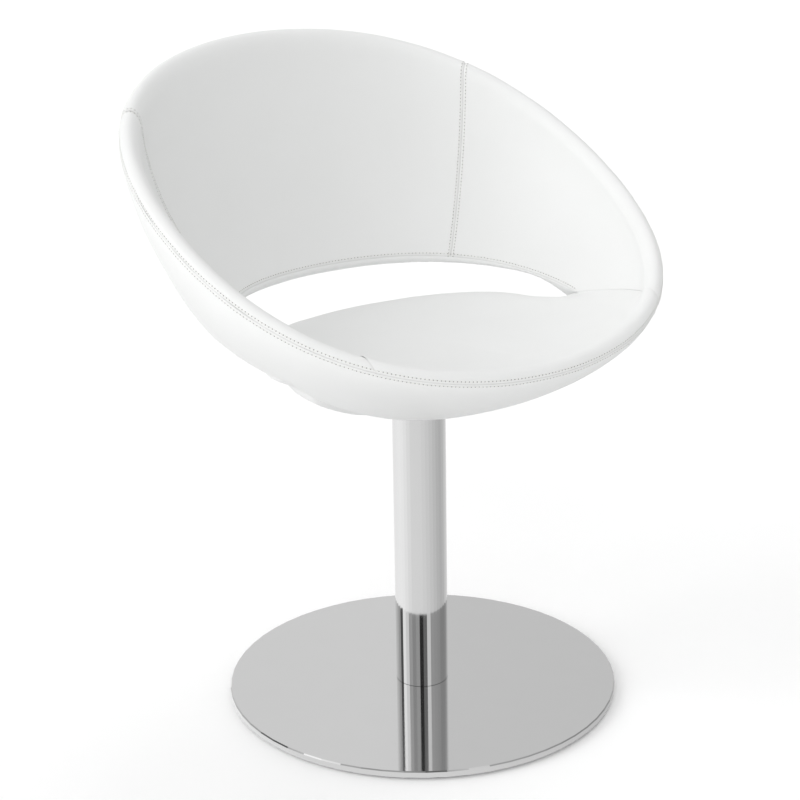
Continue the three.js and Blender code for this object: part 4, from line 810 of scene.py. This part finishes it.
# Stitches: evenly spaced along a line on a panel, each an arch of thread between two needle holes
def stitch_places(line, facing):
    run = np.concatenate([[0], np.cumsum(np.linalg.norm(np.diff(line, axis=0), axis=-1))])
    count = int(run[-1] / STITCH_PITCH)
    at = (np.arange(count) + 0.5) * run[-1] / count

    def values(places, source):
        return np.stack([np.interp(places, run, source[:, k]) for k in range(3)], -1)

    along = unit(values(at + STITCH_LOOK, line) - values(at - STITCH_LOOK, line))
    normal = unit(values(at, facing))
    normal = unit(normal - along * np.sum(normal * along, -1, keepdims=True))
    return values(at, line), along, np.cross(along, normal), normal


# Rings of points at each stitch, joined one to the next, in one mesh
def rings_mesh(name, places, rings, outward=True):
    verts, faces, total = [], [], 0
    for place in places:
        grid = rings(*(v[:, None, None, :] for v in place))
        verts.append(grid.reshape(-1, 3))
        index = np.arange(grid[..., 0].size).reshape(grid.shape[:3]) + total
        after = np.roll(index, -1, axis=2)
        second, last = (after[:, :-1], index[:, 1:]) if outward else (index[:, 1:], after[:, :-1])
        faces.append(np.stack([index[:, :-1], second, after[:, 1:], last], -1).reshape(-1, 4))
        total += index.size
    return in_scene(name, tidy_mesh(name, np.concatenate(verts), np.concatenate(faces)))


def turns(sides):
    return np.linspace(0, 2 * math.pi, sides + 1)[None, None, :-1, None]


def thread_rings(centre, along, aside, normal):
    u = np.linspace(-1, 1, STITCH_RINGS)[None, :, None, None]
    turn = turns(STITCH_SIDES)
    radius = STITCH_RADIUS * (1 - STITCH_TAPER * u * u)
    height = STITCH_ARCH * (1 - u * u) - STITCH_SINK + radius * np.sin(turn)
    middle = centre + along * (STITCH_LENGTH / 2 * u)
    return middle + normal * height + aside * (radius * np.cos(turn))


# Flat dark discs at the needle holes: painted shade of the holes
def hole_rings(centre, along, aside, normal):
    turn = turns(HOLE_SIDES)
    radius, height = (np.array(v)[None, :, None, None] for v in (HOLE_RADII, HOLE_HEIGHTS))
    to_hole = along * (STITCH_PITCH / 2 + radius * np.cos(turn))
    return centre + to_hole + aside * (radius * np.sin(turn)) + normal * height


def both_sides(line, facing):
    return [(line, facing), (line * MIRROR, facing * MIRROR)]


def part_of(line, facing, keep):
    return line[keep], facing[keep]


beside_slot = side_columns / RIM_HALF_DEPTH >= TIP_ANGLE
rim_lines = [
    back.line("top", STITCH_OFFSET),
    seat.line("bottom", STITCH_OFFSET),
    front.line("top", STITCH_OFFSET),
    band.line("top", STITCH_OFFSET),
    *both_sides(*side.line("top", STITCH_OFFSET)),
]
back_seam_lines = [
    back.line("left", STITCH_OFFSET),
    back.line("right", STITCH_OFFSET),
    *both_sides(*side.line("right", STITCH_OFFSET)),
]
slot_lines = [
    back.line("bottom", STITCH_OFFSET),
    *both_sides(*part_of(*side.line("bottom", STITCH_OFFSET), beside_slot)),
]
threads, hole_shades = [], []
for name, lines in (("rim", rim_lines), ("back_seam", back_seam_lines), ("slot", slot_lines)):
    places = [stitch_places(*line) for line in lines]
    threads.append(rings_mesh(f"{name}_stitching", places, thread_rings))
    hole_shades.append(rings_mesh(f"{name}_needle_hole_shades", places, hole_rings, outward=False))


# Materials
LEATHER_TONES = ((0.797, 0.803, 0.796), (0.823, 0.829, 0.825))
# Painted shade in the seam grooves: the grey it darkens towards, and how far
SEAM_SHADE_TONE = (0.30, 0.29, 0.27)
SEAM_SHADE_SHARE = 0.27
WEAR_SCALE = 2.7


def nodes_of(name):
    material = bpy.data.materials.new(name)
    material.use_nodes = True
    tree = material.node_tree
    return material, tree, tree.nodes["Principled BSDF"]


def new_node(tree, kind, **values):
    node = tree.nodes.new(kind)
    for key, value in values.items():
        if key in node.inputs:
            node.inputs[key].default_value = value
        else:
            setattr(node, key, value)
    return node


def object_coordinates(tree):
    return tree.nodes.new("ShaderNodeTexCoord").outputs["Object"]


def colour_mix(tree, factor, first, second):
    node = new_node(tree, "ShaderNodeMix", data_type="RGBA")
    tree.links.new(factor, node.inputs[0])
    for socket, value in ((node.inputs[6], first), (node.inputs[7], second)):
        if isinstance(value, tuple):
            socket.default_value = (*value, 1)
        else:
            tree.links.new(value, socket)
    return node.outputs[2]


def ranged(tree, value, low, high):
    node = new_node(tree, "ShaderNodeMapRange", **{"To Min": low, "To Max": high})
    tree.links.new(value, node.inputs["Value"])
    return node.outputs["Result"]


# Noise from 0 to 1, with about as many waves to the metre as scale says
def noise(tree, scale, detail=3.0, roughness=0.5):
    node = new_node(tree, "ShaderNodeTexNoise", Scale=scale, Detail=detail, Roughness=roughness)
    tree.links.new(object_coordinates(tree), node.inputs["Vector"])
    return node.outputs["Fac"]


# One finish: a colour and a roughness that vary a little, over small bumps
def finish(name, base, rough, metallic=0.0, vary=0.03, rough_vary=0.08, scale=60.0, bump=0.1,
           bump_distance=0.0002, bump_scale=900.0, sheen=0.0, specular=0.5):
    material, tree, shader = nodes_of(name)
    cloud = noise(tree, scale)
    darker = tuple(max(0.0, c * (1 - vary)) for c in base)
    lighter = tuple(min(1.0, c * (1 + vary)) for c in base)
    tree.links.new(colour_mix(tree, cloud, darker, lighter), shader.inputs["Base Color"])
    wear = noise(tree, scale * WEAR_SCALE, detail=5.0, roughness=0.6)
    wear = ranged(tree, wear, low=rough - rough_vary, high=rough + rough_vary)
    tree.links.new(wear, shader.inputs["Roughness"])
    shader.inputs["Metallic"].default_value = metallic
    shader.inputs["Specular IOR Level"].default_value = specular
    shader.inputs["Sheen Weight"].default_value = sheen
    bumps = new_node(tree, "ShaderNodeBump", Strength=bump, Distance=bump_distance)
    tree.links.new(noise(tree, bump_scale, detail=4.0, roughness=0.6), bumps.inputs["Height"])
    tree.links.new(bumps.outputs["Normal"], shader.inputs["Normal"])
    return material


# Leather: a broad soft variation of tone, painted shade in the seam grooves, and a grain of small
# cells over soft bumps
def leather_finish():
    material, tree, shader = nodes_of("white_leather")
    colour = colour_mix(tree, noise(tree, scale=9.0), *LEATHER_TONES)
    # Painted shade: darker where the seams cut in, from the share each panel stores
    layer = new_node(tree, "ShaderNodeAttribute", attribute_name="groove_shade")
    seam_shade = ranged(tree, layer.outputs["Fac"], low=0.0, high=SEAM_SHADE_SHARE)
    colour = colour_mix(tree, seam_shade, colour, SEAM_SHADE_TONE)
    tree.links.new(colour, shader.inputs["Base Color"])
    wear = ranged(tree, noise(tree, scale=35.0, detail=4.0), low=0.38, high=0.52)
    tree.links.new(wear, shader.inputs["Roughness"])
    cells = new_node(tree, "ShaderNodeTexVoronoi", Scale=720.0, feature="DISTANCE_TO_EDGE")
    tree.links.new(object_coordinates(tree), cells.inputs["Vector"])
    grain = new_node(tree, "ShaderNodeBump", Strength=0.12, Distance=0.0002)
    tree.links.new(cells.outputs["Distance"], grain.inputs["Height"])
    soft = new_node(tree, "ShaderNodeBump", Strength=0.25, Distance=0.0006)
    tree.links.new(noise(tree, scale=55.0), soft.inputs["Height"])
    tree.links.new(grain.outputs["Normal"], soft.inputs["Normal"])
    tree.links.new(soft.outputs["Normal"], shader.inputs["Normal"])
    shader.inputs["Specular IOR Level"].default_value = 0.45
    return material


leather = leather_finish()
thread = finish("thread", (0.80, 0.80, 0.78), 0.6, vary=0.05, bump_scale=2500.0)
# Painted shade of the needle holes
hole = finish("needle_hole_shade", (0.25, 0.24, 0.23), 0.9)
chrome = finish("chrome", (0.80, 0.80, 0.80), 0.055, metallic=1.0, vary=0.012, rough_vary=0.02,
                scale=30.0, bump=0.02, bump_distance=0.0003, bump_scale=12.0)
steel = finish("steel", (0.56, 0.57, 0.58), 0.35, metallic=1.0, scale=200.0)
paint = finish("frame_paint", (0.04, 0.04, 0.045), 0.5, vary=0.1, scale=120.0, bump_scale=1500.0)
board = finish("board", (0.12, 0.12, 0.125), 0.7, vary=0.12)
acetal = finish("acetal", (0.80, 0.80, 0.78), 0.4)
webbing = finish("webbing", (0.05, 0.05, 0.05), 0.85, vary=0.2, sheen=0.3, bump=0.5,
                 bump_scale=1200.0)
felt = finish("felt", (0.03, 0.03, 0.033), 0.95, vary=0.25, sheen=0.4, bump=0.6, bump_scale=2200.0)
foam = finish("foam", (0.80, 0.74, 0.55), 0.95, vary=0.08, bump=0.6, bump_scale=1500.0)

# Pieces: what each is made of, what it rides on and which CAD nodes it stands for
for piece, nodes in (
    (back_piece, ("back_cover", "back_foam")),
    (right_piece, ("right_side_cover",)),
    (left_piece, ("left_side_cover",)),
    (seat_piece, ("seat_cover", "seat_foam")),
    (pan_piece, ("pan_cover",)),
    (outer_piece, ("outer_cover", "front_foam")),
):
    piece.data.materials.append(leather)
    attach(piece, "seat")
    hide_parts(*nodes)

for pieces, used in ((threads, thread), (hole_shades, hole)):
    for piece in pieces:
        piece.data.materials.append(used)
        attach(piece, "seat")

dust_piece.data.materials.append(webbing)
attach(dust_piece, "seat")
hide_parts("dust_cover")
for index, (piece, grid) in enumerate(straps):
    piece.data.materials.append(webbing)
    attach(piece, "seat")
    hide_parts(f"webbing_strap_{index + 1}")

# Every CAD solid gets the finish that its CAD material names
finishes = {
    "chrome": chrome, "steel": steel, "frame_paint": paint, "board": board, "acetal": acetal,
    "webbing": webbing, "felt": felt, "foam": foam, "white_leather": leather,
}
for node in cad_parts.values():
    used = node.data.materials[0].name.split(".")[0]
    node.data.materials.clear()
    node.data.materials.append(finishes[used])

# Camera, fitted to the plate and the column in the photo
CAMERA_DISTANCE = 2311
FOCAL_PIXELS = 1960
PICTURE = 800
SENSOR = 36
ELEVATION = 19.24 * DEGREE
ROLL = 0.94 * DEGREE
AZIMUTH = -35.96 * DEGREE
SHIFT = np.array([26.34, -333.72, -CAMERA_DISTANCE])


def turned_about_z(angle):
    c, s = math.cos(angle), math.sin(angle)
    return np.array([[c, -s, 0], [s, c, 0], [0, 0, 1]])


right = np.array([1.0, 0, 0])
backward = np.array([0, -math.cos(ELEVATION), math.sin(ELEVATION)])
upward = np.cross(backward, right)
axes = turned_about_z(ROLL) @ np.array([right, upward, backward])
pose = np.identity(4)
pose[:3, :3] = turned_about_z(AZIMUTH) @ axes.T
pose[:3, 3] = turned_about_z(AZIMUTH) @ (-axes.T @ SHIFT) * MM
camera_data = bpy.data.cameras.new("camera")
camera_data.lens = FOCAL_PIXELS / PICTURE * SENSOR
camera_data.sensor_width = SENSOR
camera = in_scene("camera", camera_data)
camera.matrix_world = Matrix(pose.tolist())
bpy.context.scene.camera = camera

# Directions of the studio: towards the lens, and to the right as seen from there
TOWARDS = Vector((math.sin(AZIMUTH), -math.cos(AZIMUTH), 0))
RIGHTWARDS = Vector((math.cos(AZIMUTH), math.sin(AZIMUTH), 0))
UP = Vector((0, 0, 1))

# What the polished metal mirrors, by heading in degrees: 0 is towards the lens and 90 to the right
STUDIO_TONES = (
    (-180, 0.73), (-150, 0.70), (-134, 0.60), (-112, 0.40), (-106, 0.10), (-92, 0.10), (-86, 1.10),
    (-70, 1.10), (-62, 0.48), (-50, 0.45), (-36, 0.33), (-20, 0.43), (-8, 0.36),
    (-5, 0.03), (6, 0.04), (10, 0.16), (24, 0.22), (29, 0.80), (42, 0.76), (48, 0.41), (77, 0.38),
    (101, 0.30), (128, 0.32), (140, 0.50), (165, 0.62), (180, 0.64),
)
ROOM_TONES = ((-180, 1.0), (-90, 1.05), (0, 1.0), (60, 0.87), (90, 0.85), (120, 0.88), (180, 1.0))
# Painted reflection: the grey the floor glows with for glossy rays, by heading in degrees
FLOOR_REFLECTION_TONES = (
    (-180, 0.90), (-134, 0.94), (-101, 1.0), (-77, 0.97), (-55, 0.88), (-36, 0.79), (0, 0.78),
    (17, 0.74), (36, 0.69), (55, 0.63), (77, 0.55), (101, 0.50), (134, 0.67), (180, 0.85),
)


# A grey for each heading round the chair's axis, from a direction or a place
def heading_tone(tree, vector, tones):
    parts = []
    for axis in (RIGHTWARDS, TOWARDS):
        dot = new_node(tree, "ShaderNodeVectorMath", operation="DOT_PRODUCT")
        dot.inputs[1].default_value = axis
        tree.links.new(vector, dot.inputs[0])
        parts.append(dot.outputs["Value"])
    angle = new_node(tree, "ShaderNodeMath", operation="ARCTAN2")
    tree.links.new(parts[0], angle.inputs[0])
    tree.links.new(parts[1], angle.inputs[1])
    share = new_node(tree, "ShaderNodeMapRange", **{"From Min": -math.pi, "From Max": math.pi})
    tree.links.new(angle.outputs[0], share.inputs["Value"])
    ramp = tree.nodes.new("ShaderNodeValToRGB")
    elements = ramp.color_ramp.elements
    while len(elements) < len(tones):
        elements.new(0.5)
    for element, (degrees, tone) in zip(elements, tones):
        element.position = (degrees + 180) / 360
        element.color = (tone, tone, tone, 1)
    tree.links.new(share.outputs["Result"], ramp.inputs["Fac"])
    return ramp.outputs["Color"]


# What rays of one kind see, and what all others do
def by_ray(tree, kind, others, these):
    path = tree.nodes.new("ShaderNodeLightPath")
    either = tree.nodes.new("ShaderNodeMixShader")
    tree.links.new(path.outputs[kind], either.inputs[0])
    tree.links.new(others, either.inputs[1])
    tree.links.new(these, either.inputs[2])
    return either.outputs["Shader"]


# Floor: white with the chair's shadow; to glossy rays it glows in greys by heading, a painted
# reflection for the metal to mirror
bpy.ops.mesh.primitive_plane_add(size=40, location=(0, 0, 0))
floor = bpy.context.object
floor.name = "floor"
floor_finish = finish("floor", (0.985, 0.985, 0.985), 0.9, vary=0.004, bump=0.0, specular=0.0)
tree = floor_finish.node_tree
painted_reflection = tree.nodes.new("ShaderNodeEmission")
tree.links.new(heading_tone(tree, object_coordinates(tree), FLOOR_REFLECTION_TONES), painted_reflection.inputs["Color"])
shader = tree.nodes["Principled BSDF"]
seen = by_ray(tree, "Is Glossy Ray", shader.outputs["BSDF"], painted_reflection.outputs["Emission"])
tree.links.new(seen, tree.nodes["Material Output"].inputs["Surface"])
floor.data.materials.append(floor_finish)

# Light: the room's tones, the studio's where metal mirrors them and plain white behind the chair
WORLD_STRENGTH = 0.745
world = bpy.data.worlds.new("studio")
bpy.context.scene.world = world
world.use_nodes = True
tree = world.node_tree
room = tree.nodes["Background"]
room.inputs["Strength"].default_value = WORLD_STRENGTH
studio = tree.nodes.new("ShaderNodeBackground")
for background, tones in ((room, ROOM_TONES), (studio, STUDIO_TONES)):
    direction = tree.nodes.new("ShaderNodeTexCoord").outputs["Generated"]
    tree.links.new(heading_tone(tree, direction, tones), background.inputs["Color"])
white = new_node(tree, "ShaderNodeBackground", Color=(1, 1, 1, 1))
lit = by_ray(tree, "Is Glossy Ray", room.outputs["Background"], studio.outputs["Background"])
seen = by_ray(tree, "Is Camera Ray", lit, white.outputs["Background"])
tree.links.new(seen, tree.nodes["World Output"].inputs["Surface"])


def sun(name, towards, strength, degrees):
    data = bpy.data.lights.new(name, "SUN")
    data.energy = strength
    data.angle = degrees * DEGREE
    lamp = in_scene(name, data)
    lamp.rotation_mode = "QUATERNION"
    lamp.rotation_quaternion = towards.normalized().to_track_quat("Z", "Y")
    lamp.visible_glossy = False


sun("key", RIGHTWARDS * -0.8 + TOWARDS * 0.2 + UP * 0.45, strength=0.97, degrees=40)
sun("top", RIGHTWARDS * 0.3 - TOWARDS * 0.35 + UP * 0.9, strength=0.37, degrees=35)
sun("fill", RIGHTWARDS * -0.25 + TOWARDS * 0.8 + UP * 0.55, strength=0.56, degrees=60)

bpy.context.scene.view_settings.view_transform = "Standard"
